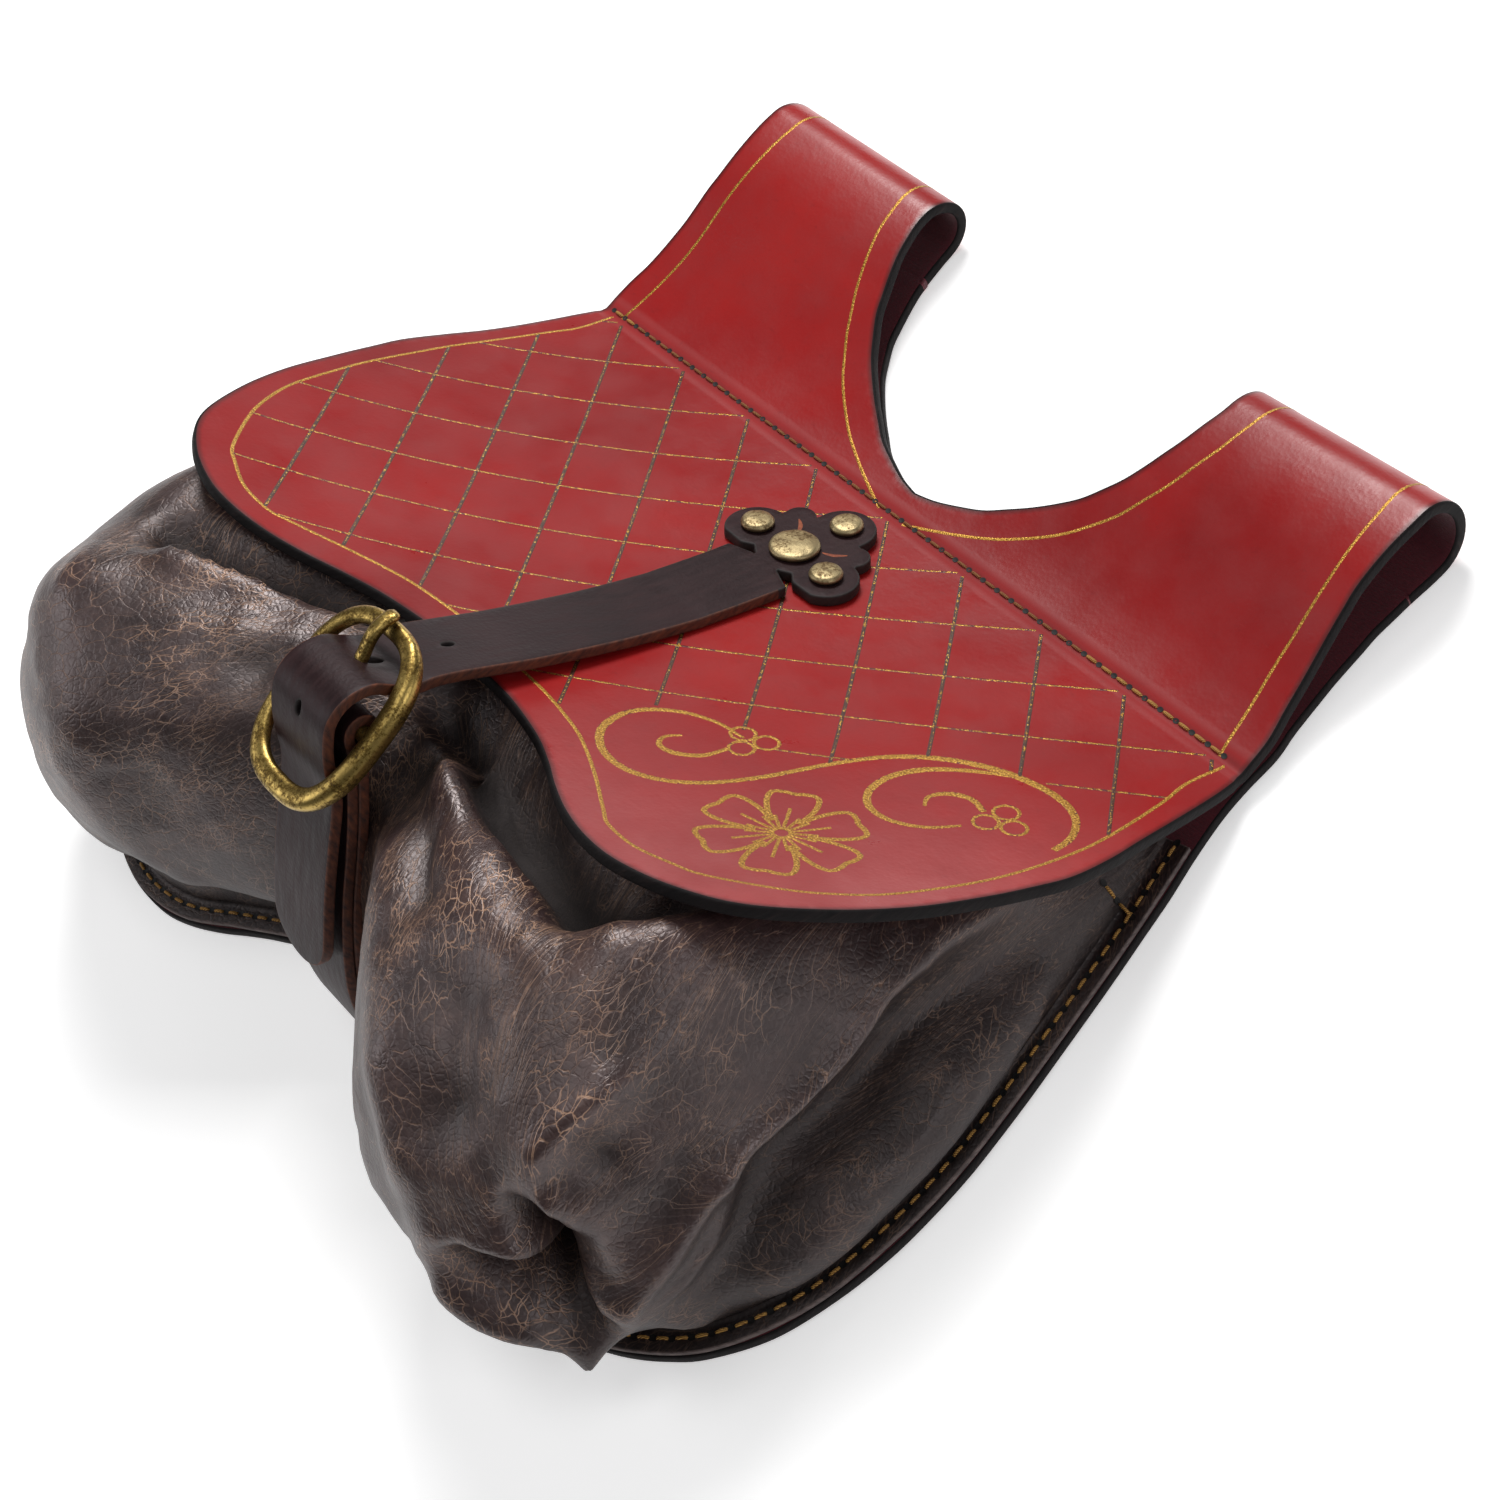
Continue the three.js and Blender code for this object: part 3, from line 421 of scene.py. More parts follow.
def make_object(name, verts_mm, faces, mats, face_mats=None, uvs=None, attrs=None, smooth=True):
    me = bpy.data.meshes.new(name)
    me.from_pydata(M(verts_mm).tolist(), [], [tuple(int(i) for i in f) for f in faces])
    for m in mats:
        me.materials.append(m)
    if face_mats is not None:
        me.polygons.foreach_set("material_index", np.asarray(face_mats, np.int32))
    if smooth:
        me.polygons.foreach_set("use_smooth", np.ones(len(me.polygons), bool))
    loops = np.zeros(len(me.loops), np.int32)
    me.loops.foreach_get("vertex_index", loops)
    for uname, uv in (uvs or {}).items():
        layer = me.uv_layers.new(name=uname)
        layer.data.foreach_set("uv", np.asarray(uv, np.float32)[loops].ravel())
    for aname, val in (attrs or {}).items():
        at = me.attributes.new(aname, "FLOAT", "POINT")
        at.data.foreach_set("value", np.asarray(val, np.float32))
    me.validate()
    me.update()
    ob = bpy.data.objects.new(name, me)
    scene.collection.objects.link(ob)
    return ob


def vertex_normals(P, tris):
    n = np.zeros_like(P)
    a, b, c = P[tris[:, 0]], P[tris[:, 1]], P[tris[:, 2]]
    f = np.cross(b - a, c - a)
    for k in range(3):
        np.add.at(n, tris[:, k], f)
    return n / np.maximum(np.linalg.norm(n, axis=1, keepdims=True), 1e-12)


def boundary_loops(tris):
    """Boundary loops of a triangle mesh, each in the direction of its faces."""
    edges = {}
    for t in tris:
        for k in range(3):
            a, b = int(t[k]), int(t[(k + 1) % 3])
            if (b, a) in edges:
                del edges[(b, a)]
            else:
                edges[(a, b)] = True
    nxt = {a: b for a, b in edges}
    loops = []
    while nxt:
        start = next(iter(nxt))
        loop = [start]
        cur = nxt.pop(start)
        while cur != start:
            loop.append(cur)
            cur = nxt.pop(cur)
        loops.append(loop)
    return loops


def leather_sheet(name, P, N, tris, uv, thick, mats, round_mm=0.6, edge_attr=None, flat_loops=(), rim_mat=None):
    """A sheet of leather: P is its outer face, N that face's normals, thick its thickness. The rim is rounded.
    mats: outer face, inner face, rim. flat_loops is not used."""
    n = len(P)
    verts, uvs, fac, fmat = [P, P - N * thick], [uv, uv], [tris, tris[:, ::-1] + n], [np.zeros(len(tris), int), np.ones(len(tris), int)]
    faces = [tuple(t) for t in tris] + [tuple(t) for t in (tris[:, ::-1] + n)]
    fm = [0] * len(tris) + [1] * len(tris)
    base = 2 * n
    edge = np.full(2 * n, 1.0)
    edge[:n] = edge_attr if edge_attr is not None else 1.0
    extra_v, extra_uv = [], []
    for loop in boundary_loops(tris):
        loop = np.array(loop)
        L = P[loop]
        t = np.roll(L, -1, 0) - np.roll(L, 1, 0)
        out = np.cross(t, N[loop])
        out /= np.maximum(np.linalg.norm(out, axis=1, keepdims=True), 1e-9)
        rings = [loop]
        r = round_mm
        profile = []
        for a in (30, 60, 90):
            profile.append((r * math.sin(math.radians(a)), r * (1 - math.cos(math.radians(a)))))
        profile += [(r * 1.04, thick * 0.5)]
        for a in (90, 60, 30):
            profile.append((r * math.sin(math.radians(a)), thick - r * (1 - math.cos(math.radians(a)))))
        nN = N[loop]
        for o, dn in profile:
            extra_v.append(L + out * o - nN * dn)
            extra_uv.append(uv[loop] + np.array([dn * 0.001, dn * 0.001]))
            rings.append(base + np.arange(len(loop)))
            base += len(loop)
        rings.append(loop + n)
        for r0, r1 in zip(rings[:-1], rings[1:]):
            m = len(loop)
            for i in range(m):
                j = (i + 1) % m
                faces.append((int(r0[i]), int(r1[i]), int(r1[j]), int(r0[j])))
                fm.append(rim_mat(L[i]) if rim_mat else 2)
    V = np.vstack([P, P - N * thick] + extra_v)
    UV = np.vstack([uv, uv] + extra_uv)
    attrs = {"edge": np.r_[edge, np.zeros(len(V) - 2 * n)]}
    return make_object(name, V, faces, mats, fm, {"UVMap": UV}, attrs)


def grid_tris(n, m, flip=False):
    i, j = np.meshgrid(np.arange(n - 1), np.arange(m - 1), indexing="ij")
    a = (i * m + j).ravel(); b = a + m; c = b + 1; d = a + 1
    t = np.vstack([np.stack([a, b, c], 1), np.stack([a, c, d], 1)])
    return t[:, ::-1] if flip else t


def triangulate(outlines, step, inner_rows=None, pad=0.55):
    """Triangulates the region inside closed outlines (mm, 2-D, one outer and any holes) with even points inside it."""
    pts, edges = [], []
    for o in outlines:
        k = len(pts)
        pts += [tuple(p) for p in o]
        edges += [(k + i, k + (i + 1) % len(o)) for i in range(len(o))]
    allp = np.array(pts)
    lo, hi = allp.min(0), allp.max(0)
    if inner_rows is None:
        rows = np.arange(lo[1], hi[1], step * 0.866)
    else:
        rows = inner_rows
    cand = []
    for r, y in enumerate(rows):
        xs = np.arange(-math.ceil(hi[0] / step) * step, hi[0] + step, step) + (step / 2 if r % 2 else 0)
        cand += [(x, y) for x in xs]
    cand = np.array(cand)
    inside = np.zeros(len(cand), bool)
    for o in outlines:
        o = np.asarray(o)
        x0, y0 = o[:, 0], o[:, 1]
        x1, y1 = np.roll(x0, -1), np.roll(y0, -1)
        for s in range(0, len(cand), 4000):
            c = cand[s:s + 4000]
            cond = (y0[None] > c[:, 1:2]) != (y1[None] > c[:, 1:2])
            xi = x0[None] + (c[:, 1:2] - y0[None]) * (x1 - x0)[None] / np.where(y1 == y0, 1e-9, y1 - y0)[None]
            inside[s:s + 4000] ^= (np.sum(cond & (c[:, 0:1] < xi), axis=1) % 2).astype(bool)
    cand = cand[inside]
    keep = np.ones(len(cand), bool)
    for s in range(0, len(cand), 2000):
        c = cand[s:s + 2000]
        d = np.full(len(c), 1e9)
        for o in outlines:
            o = np.asarray(o)
            for q in range(0, len(o), 400):
                d = np.minimum(d, np.sqrt(((c[:, None] - o[None, q:q + 400]) ** 2).sum(-1)).min(1))
        keep[s:s + 2000] = d > step * pad
    cand = cand[keep]
    V, _, F, _, _, _ = delaunay_2d_cdt([Vector(p) for p in pts] + [Vector(p) for p in cand], edges, [], 0, 1e-7)
    V = np.array([tuple(v) for v in V])
    T = np.array([f for f in F if len(f) == 3])
    cen = V[T].mean(1)
    ok = np.zeros(len(T), bool)
    for o in outlines:
        o = np.asarray(o)
        x0, y0 = o[:, 0], o[:, 1]
        x1, y1 = np.roll(x0, -1), np.roll(y0, -1)
        for s in range(0, len(cen), 4000):
            c = cen[s:s + 4000]
            cond = (y0[None] > c[:, 1:2]) != (y1[None] > c[:, 1:2])
            xi = x0[None] + (c[:, 1:2] - y0[None]) * (x1 - x0)[None] / np.where(y1 == y0, 1e-9, y1 - y0)[None]
            ok[s:s + 4000] ^= (np.sum(cond & (c[:, 0:1] < xi), axis=1) % 2).astype(bool)
    T = T[ok]
    area = np.cross(V[T[:, 1]] - V[T[:, 0]], V[T[:, 2]] - V[T[:, 0]])
    T[area < 0] = T[area < 0][:, ::-1]
    used = np.unique(T)
    re = np.full(len(V), -1)
    re[used] = np.arange(len(used))
    return V[used], re[T]


def inset(outline, d):
    """A closed outline (anticlockwise) moved inwards by d."""
    o = np.asarray(outline, float)
    t = np.roll(o, -1, 0) - np.roll(o, 1, 0)
    t /= np.maximum(np.linalg.norm(t, axis=1, keepdims=True), 1e-9)
    return o + np.stack([-t[:, 1], t[:, 0]], 1) * d


def distance_to(points, outlines):
    d = np.full(len(points), 1e9)
    for o in outlines:
        o = np.asarray(o)
        for q in range(0, len(o), 300):
            for s in range(0, len(points), 4000):
                d[s:s + 4000] = np.minimum(d[s:s + 4000], np.sqrt(((points[s:s + 4000, None] - o[None, q:q + 300]) ** 2).sum(-1)).min(1))
    return d


# ------------------------------------------------------------------ the bag's shared shapes
STITCH_Z, T_RED, T_POUCH, T_STRAP = 6.5, 3.0, 1.6, 3.0
GAP, BAR_R = 0.3, 2.0
RIVETS = [("center", 0, 29.5, 6.5), ("left", -14.2, 30.5, 4.3), ("right", 14.2, 30.5, 4.3), ("top", 0.6, 13.6, 4.3)]
PHI = math.radians(23)
FOLD_Y, FOLD_R = 70.0, 10.5
PANEL = [
    [0, -175], [15, -176], [30, -179], [41, -184], [49, -188.5], [57, -193.5], [66, -198], [75, -200.8], [85, -201.5],
    [95, -200.5], [105, -197.5], [115, -193], [123.5, -188.5], [131, -183], [138, -176], [146, -162.5], [150.3, -146.5],
    [152, -132], [152, -120], [151.2, -108], [149.6, -97], [147.7, -86], [145.5, -75], [143.3, -64], [141, -53],
    [138.5, -42], [136, -31], [133, -20], [130.6, -9], [129.6, 0], [129.2, 10],
]
LOOP_IN = [
    [9.6, 0], [10, 2.5], [11, 7], [13.1, 13], [16, 20], [19.5, 25.4], [23.3, 31], [27.4, 36.3], [31.8, 41.3], [36.4, 45.1],
    [41.3, 48.7], [46.4, 51.2], [51.8, 53.6], [57, 55.6], [62.4, 57.1], [67.4, 58.3], [72, 59], [81, 60],
]
LOOP_OUT = [
    [0, 129.6], [6, 129.4], [11, 129], [17, 127.7], [22, 126.9], [27, 126.2], [32, 125.5], [37, 125], [43, 124.5],
    [48, 124], [58, 124], [70, 124.4], [81, 124],
]
FRONT_Z = [
    [0, STITCH_Z], [5, 6.9], [10, 7.4], [16, 8.3], [22, 9.6], [27, 10.9], [32, 12.4], [37, 14.2], [42, 16], [47, 17.5],
    [52, 18.9], [58, 20.1], [64, 20.8], [70, 21],
]
FLAP_OUT = [
    [129.6, 0], [130.3, 2], [131.6, 8], [133, 17], [134.5, 27], [136, 36], [138, 46], [139.4, 58], [138.6, 68], [137, 80],
    [133.5, 97], [127, 113.5], [117, 129], [104, 137.5], [90, 141.5], [78, 141.5], [66, 139], [55, 135], [45, 130.5],
    [34, 126.5], [20, 123.5], [11, 122.6], [0, 122.4],
]


def flap_raw(u, v, lift=0.0):
    u, v = np.asarray(u, float), np.asarray(v, float)
    U, W = u / 30, v / 30
    z = (0.033 * W * W + 0.00514 * U * U * W) * 30
    a = PHI + np.arctan(2 * 0.033 * W + 0.00514 * U * U)
    c, s = math.cos(PHI), math.sin(PHI)
    return np.stack([u + 0 * v, -v * c + z * s + lift * np.sin(a), z * c + v * s + STITCH_Z + lift * np.cos(a)], -1)


# side profile of the front leather above the seam, over the fold and down the back, by distance along it
_y = np.linspace(0, FOLD_Y, 141)
_z = catmull(np.array(FRONT_Z), np.linspace(0, 1, 400))
_z = np.interp(_y, _z[:, 0], _z[:, 1])
_ang = np.linspace(math.pi / 2, -math.pi / 2, 61)[1:]
_prof = [(y, z, 1.0) for y, z in zip(_y, _z)]
_prof += [(FOLD_Y + FOLD_R * math.cos(a), FOLD_R + FOLD_R * math.sin(a), (1 + math.sin(a)) / 2) for a in _ang]
_prof += [(y, 0.0, 0.0) for y in np.linspace(FOLD_Y, 0, 141)[1:]]
_prof = np.array(_prof)
_arc = np.r_[0, np.cumsum(np.hypot(np.diff(_prof[:, 0]), np.diff(_prof[:, 1])))]
B_FOLD0 = float(_arc[140])
B_FOLD1 = float(_arc[200])


def b_front(y):
    return np.interp(y, _prof[:141, 0], _arc[:141])


def b_back(y):
    return B_FOLD1 + (FOLD_Y - np.asarray(y, float))


def front_raw(a, b):
    a, b = np.asarray(a, float), np.asarray(b, float)
    y, z, tw = np.interp(b, _arc, _prof[:, 0]), np.interp(b, _arc, _prof[:, 1]), np.interp(b, _arc, _prof[:, 2])
    yy = np.where(b <= B_FOLD0, np.minimum(y, 64), 64.0)
    t = 2.6 * np.minimum(yy / 47, 1) * np.maximum((np.abs(a) - 90) / 35, -1)
    return np.stack([a, y, z + tw * t], -1)


def pattern(a, b):
    """Outer face of the red leather: b > 0 above the top seam, over the fold and down the back; b < 0 down the flap."""
    a, b = np.asarray(a, float), np.asarray(b, float)
    out = np.zeros(a.shape + (3,))
    ws = (0.06, 0.12, 0.2, 0.24, 0.2, 0.12, 0.06)
    ds = (-3, -2, -1, 0, 1, 2, 3)
    for w, d in zip(ws, ds):
        bb = b + 0.12 * d * np.clip(1 - np.abs(b) / 4, 0, 1)
        out += w * np.where((bb < 0)[..., None], flap_raw(a, np.maximum(-bb, 0)), front_raw(a, np.maximum(bb, 0)))
    out[..., 2] -= 0.16 * np.exp(-(((b - 1.6) / 1.3) ** 2))
    return out


def pattern_normal(a, b):
    e = 0.4
    da = pattern(a + e, b) - pattern(a - e, b)
    db = pattern(a, b + e) - pattern(a, b - e)
    n = np.cross(da, db)
    return n / np.linalg.norm(n, axis=-1, keepdims=True)


# ------------------------------------------------------------------ red leather: flap, yoke, loops
SPLIT_Y = 60.0


def red_outline():
    half = [(u, -v) for u, v in FLAP_OUT[::-1]]  # from the bottom centre to the top seam
    for y in (6, 11, 17, 22, 27, 32, 37, 43, 48, 58, 66):
        half.append((float(table(LOOP_OUT, y)), float(b_front(y))))
    fold = np.linspace(B_FOLD0 + 2, B_FOLD1 - 1, 6)
    half += [(124.3, float(b)) for b in fold]
    half.append((124.3, float(b_back(66))))
    end = float(b_back(SPLIT_Y - 0.6))
    outer = smooth_line(half + [(124.0, end)], 1.6)
    inner_pts = [(60.0, end), (59.6, float(b_back(66)))] + [(59.4 + 0.5 * k / 5, float(b)) for k, b in enumerate(fold[::-1])]
    ys = [r[0] for r in LOOP_IN if r[0] < 70][::-1]
    inner_pts = [(float(table(LOOP_IN, SPLIT_Y)), end), (57.8, float(b_back(66)))] + [(58.6, float(b)) for b in fold[::-1]]
    for y in ys:
        inner_pts.append((float(table(LOOP_IN, y)), float(b_front(y))))
    inner = smooth_line(inner_pts, 1.6)
    cross = resample(np.array([outer[-1], inner[0]]), 1.6)[1:-1]
    right = np.vstack([outer, cross, inner])
    left = right[::-1].copy()
    left[:, 0] *= -1
    full = np.vstack([right, left])
    keep = np.r_[True, np.linalg.norm(np.diff(full, axis=0), axis=1) > 0.2]
    return full[keep]


red_edge = red_outline()
if np.linalg.norm(red_edge[0] - red_edge[-1]) < 0.2:
    red_edge = red_edge[:-1]
red_in = inset(red_edge, 0.6)
rows = np.r_[np.arange(red_in[:, 1].min(), -6, 1.82), np.arange(-6, 8, 0.85), np.arange(8, red_in[:, 1].max(), 1.82)]
V2, T2 = triangulate([red_in], 2.1, rows)
P3 = pattern(V2[:, 0], V2[:, 1])
N3 = pattern_normal(V2[:, 0], V2[:, 1])
red_front = leather_sheet(
    "leather_front", P3, N3, T2, V2 * 0.001, T_RED, [RED, FLESH, EDGE], 0.6,
    edge_attr=distance_to(V2, [red_in[red_in[:, 1] < b_back(SPLIT_Y) - 1.2]]) * 0.001,
    rim_mat=lambda p: 1 if p[1] < SPLIT_Y + 1 and p[1] > SPLIT_Y - 1 and p[2] < 1 else 2,
)
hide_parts("front_yoke", "flap", "loop_left", "loop_right")


# back panel, with the back layer of each loop
def back_outline():
    half = [(x, y) for x, y in PANEL]
    half += [(float(table(LOOP_OUT, y)), y) for y in (17, 22, 27, 32, 37, 43, 48, 54)]
    outer = smooth_line(half + [(124.0, SPLIT_Y + 0.6)], 1.6)
    ys = [r[0] for r in LOOP_IN if r[0] < SPLIT_Y - 2][::-1]
    inner = smooth_line([(float(table(LOOP_IN, SPLIT_Y)), SPLIT_Y + 0.6)] + [(float(table(LOOP_IN, y)), y) for y in ys], 1.6)
    cross = resample(np.array([outer[-1], inner[0]]), 1.6)[1:-1]
    right = np.vstack([outer, cross, inner])
    left = right[::-1].copy()
    left[:, 0] *= -1
    full = np.vstack([right, left])
    keep = np.r_[True, np.linalg.norm(np.diff(full, axis=0), axis=1) > 0.2]
    return full[keep]


back_edge = back_outline()
if np.linalg.norm(back_edge[0] - back_edge[-1]) < 0.2:
    back_edge = back_edge[:-1]
back_in = inset(back_edge, 0.6)
VB, TB = triangulate([back_in], 3.0)
PB = np.c_[VB[:, 0], VB[:, 1], np.zeros(len(VB))]
NB = np.tile([0, 0, -1.0], (len(VB), 1))
back = leather_sheet(
    "leather_back", PB, NB, TB[:, ::-1], np.c_[VB[:, 0], b_back(VB[:, 1])] * 0.001, T_RED, [RED, FLESH, EDGE], 0.6,
    edge_attr=distance_to(VB, [back_in[back_in[:, 1] < SPLIT_Y - 1.2]]) * 0.001,
    rim_mat=lambda p: 1 if p[1] > SPLIT_Y - 0.4 else 2,
)
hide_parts("back_panel")


# ------------------------------------------------------------------ gilt lines
def ribbon(lines, name, lift=0.05, step=1.2):
    """Ribbons on the red leather. lines: (points (a, b), width mm, gilt amount 0..1, closed)."""
    V, F, UV, AC, G = [], [], [], [], []
    for pts, width, gilt, closed in lines:
        q = resample(pts, step, closed)
        if closed:
            t = np.roll(q, -1, 0) - np.roll(q, 1, 0)
        else:
            t = np.gradient(q, axis=0)
        t /= np.maximum(np.linalg.norm(t, axis=1, keepdims=True), 1e-9)
        s = np.stack([-t[:, 1], t[:, 0]], 1)
        k = len(V) and sum(len(v) for v in V)
        cols = []
        w = np.interp(np.linspace(0, 1, len(q)), np.linspace(0, 1, len(np.atleast_1d(width))), np.atleast_1d(width))[:, None]
        for f, h in ((-0.5, 0.0), (-0.22, 1.0), (0.22, 1.0), (0.5, 0.0)):
            p = q + s * w * f
            P = pattern(p[:, 0], p[:, 1]) + pattern_normal(p[:, 0], p[:, 1]) * (lift * (0.25 + 0.75 * h))
            cols.append(P)
            UV.append(p * 0.001)
            AC.append(np.stack([np.full(len(q), f + 0.5), np.arange(len(q)) * 0.1], 1))
            G.append(np.full(len(q), gilt))
        n = len(q)
        for c in range(3):
            for i in range(n if closed else n - 1):
                j = (i + 1) % n
                F.append((k + c * n + i, k + c * n + j, k + (c + 1) * n + j, k + (c + 1) * n + i))
        V += cols
    V = np.vstack(V)
    F = np.array(F)
    a, b, c = V[F[:, 0]], V[F[:, 1]], V[F[:, 2]]
    return make_object(name, V, F, [GOLD], None, {"UVMap": np.vstack(UV), "across": np.vstack(AC)}, {"gilt": np.concatenate(G)})


BORDER = [(124.5, 0), (124.5, 12), (127, 22), (131, 44), (131.8, 58), (131.5, 71), (130, 82), (126, 98.5), (120, 110), (113.5, 118), (102.5, 128),
          (95.8, 131), (85.6, 134), (75, 133.6), (69, 131), (55.8, 124.5), (44, 119.5), (34, 116.4), (18, 114), (0, 113.4)]
border_r = smooth_line([(a, -v) for a, v in BORDER], 1.0)
border = np.vstack([border_r[:-1], (border_r * [-1, 1])[::-1]])


def inside_border(p, margin=0.0):
    o = np.vstack([border, [(-124.5, 0), (124.5, 0)]])
    x0, y0 = o[:, 0], o[:, 1]
    x1, y1 = np.roll(x0, -1), np.roll(y0, -1)
    cond = (y0[None] > p[:, 1:2]) != (y1[None] > p[:, 1:2])
    xi = x0[None] + (p[:, 1:2] - y0[None]) * (x1 - x0)[None] / np.where(y1 == y0, 1e-9, y1 - y0)[None]
    return (np.sum(cond & (p[:, 0:1] < xi), axis=1) % 2).astype(bool)


# ornament on the right lobe: a plain five-petalled blossom under an S-shaped scroll, all in the same flat frame
SCROLL = [(56, 85), (47, 86.5), (38.5, 92), (34, 101), (37, 110.5), (45, 116), (54.5, 116.5), (62.5, 112), (68, 104), (71.5, 93), (73.5, 82),
          (75.5, 72), (79, 62), (84.5, 53.8), (92, 47), (101.5, 42), (112.5, 39.8), (121, 41.8), (126.6, 47.8), (128.6, 54.5)]
CURL_1 = [(58, 91), (57.8, 97.5), (54, 102.5), (49.3, 103.6), (46.8, 100.4), (48.2, 96.6)]
SCROLL_2 = [(101, 42.4), (93.8, 49.3), (88, 57.5), (86, 66.1), (88.4, 74), (94, 78.2), (101, 77.6), (107, 72.7), (110.4, 65.5)]
CURL_2 = [(108.5, 57.6), (103, 56.6), (98.4, 59.6), (97.2, 64.3), (99.8, 67.4)]
scroll_line = smooth_line([(u, -v) for u, v in SCROLL], 1.0)


def beads(cx, cy, r, rot):
    out = []
    for k in range(3):
        a = rot + 2 * math.pi * k / 3
        x, y = cx + r * 1.02 * math.cos(a), cy + r * 1.02 * math.sin(a)
        w = np.linspace(0, 2 * math.pi, 20, endpoint=False)
        out.append((np.stack([x + r * 0.82 * np.cos(w), y + r * 0.82 * np.sin(w)], 1), 0.95, 0.5, True))
    return out


def blossom(cx, cy, r, petals, rot):
    out = []
    for k in range(petals):
        a0 = rot + 2 * math.pi * k / petals
        w = math.pi / petals * 0.985
        pts = []
        for q in np.linspace(-1, 1, 31):
            rad = r * (0.30 + 0.70 * (1 - abs(q) ** 4.4)) * (1 - 0.085 * math.exp(-((q / 0.17) ** 2)) + 0.02 * math.cos(q * 11))
            pts.append((cx + rad * math.cos(a0 + q * w), cy + rad * math.sin(a0 + q * w)))
        out.append((np.array(pts), 1.35, 0.8, False))
        for f, off in ((0.60, 0.0), (0.42, 0.35), (0.42, -0.35)):
            b = a0 + off
            out.append((np.array([(cx + g * r * math.cos(b), cy + g * r * math.sin(b)) for g in (0.08, 0.3, f)]), 0.85, 0.75, False))
    return out


def below_scroll(p):
    """True where a point lies in the ornament's field, past the S-shaped line on the right lobe."""
    q = np.array([(24.4, -114.4), (34, -96), (38, -92), (47, -86.5), (56, -82), (64, -82), (72, -86), (73.5, -82), (75.5, -72), (79, -62), (84.5, -53.8), (92, -47),
                  (101.5, -42), (106.5, -38.6), (112, -40), (121, -41.5), (127, -46), (150, -60), (150, -160), (20, -160)])
    x0, y0 = q[:, 0], q[:, 1]
    x1, y1 = np.roll(x0, -1), np.roll(y0, -1)
    cond = (y0[None] > p[:, 1:2]) != (y1[None] > p[:, 1:2])
    xi = x0[None] + (p[:, 1:2] - y0[None]) * (x1 - x0)[None] / np.where(y1 == y0, 1e-9, y1 - y0)[None]
    return (np.sum(cond & (p[:, 0:1] < xi), axis=1) % 2).astype(bool)


gilt = [(border, 0.9, 0.9, False)]
for sgn, amount, width in ((1, 0.24, 0.74), (-1, 0.03, 0.95)):
    for k in range(-8, 9):
        t = np.linspace(-160, 160, 641)
        c0 = 30.0 * k if not (sgn == 1 and k == 5) else 145.3
        # u + v = c0 for sgn 1, u - v = c0 for sgn -1, with v = -b
        p = np.stack([t, (t - c0) if sgn == 1 else (c0 - t)], 1)
        ok = inside_border(p) & ~below_scroll(p) & (p[:, 1] < -0.5)
        run = []
        for i in range(len(p) + 1):
            if i < len(p) and ok[i]:
                run.append(p[i])
            elif run:
                if len(run) > 6:
                    gilt.append((np.array(run), width, amount, False))
                run = []
gilt.append((scroll_line, (0.9, 2.1, 1.7, 1.6, 2.2, 1.7), 0.6, False))
gilt.append((smooth_line([(u, -v) for u, v in SCROLL_2], 1.0), (1.2, 2.0, 1.8, 0.9), 0.65, False))
gilt.append((smooth_line([(u, -v) for u, v in CURL_1], 1.0), (1.3, 1.8, 0.8), 0.8, False))
gilt.append((smooth_line([(u, -v) for u, v in CURL_2], 1.0), (1.6, 1.8, 0.8), 0.6, False))
gilt += beads(58.0, -84.6, 3.6, 0.9) + beads(113.5, -56.5, 3.6, 2.2)
gilt += blossom(94.0, -102.0, 19.0, 6, 0.25)
# lines beside the edges of the loops
go = [(121.4, 0.9), (120.4, 6), (119.4, 12), (118.6, 17), (117.8, 22), (117.2, 27), (116.8, 33), (116.5, 38), (116.2, 43), (115.8, 49), (115.4, 54), (115.1, 59), (114.8, 65), (114.4, 70)]
gi = [(4.7, 0.8), (12, 3.6), (20.5, 7.2), (29.2, 11.5), (35.1, 15.3), (40.4, 19.1), (45.5, 23.5), (49.8, 28.3), (53.8, 33.1), (56.9, 38.2), (59.9, 43.3), (62.3, 48.3), (64.4, 53.5), (66.4, 58.9), (67.6, 64.5), (68.6, 70)]
outer_line = smooth_line([(x, float(b_front(y))) for x, y in go] + [(114.3, B_FOLD0 + 8), (114.3, B_FOLD0 + 16), (114.3, B_FOLD1 + 4)], 1.0)
inner_line = smooth_line([(x, float(b_front(y))) for x, y in gi] + [(69.3, B_FOLD0 + 8), (69.6, B_FOLD0 + 16), (69.8, B_FOLD1 + 4)], 1.0)
for side in (1, -1):
    gilt.append((outer_line * [side, 1], 0.8, 0.95, False))
    gilt.append((inner_line * [side, 1], 0.8, 0.95, False))
split = [g for g in gilt if np.all(g[0][:, 1] < 0.4)]
upper = [g for g in gilt if not np.all(g[0][:, 1] < 0.4)]
gilt_flap = ribbon(split, "gilt_lines_flap")
gilt_loops = ribbon(upper, "gilt_lines_loops")


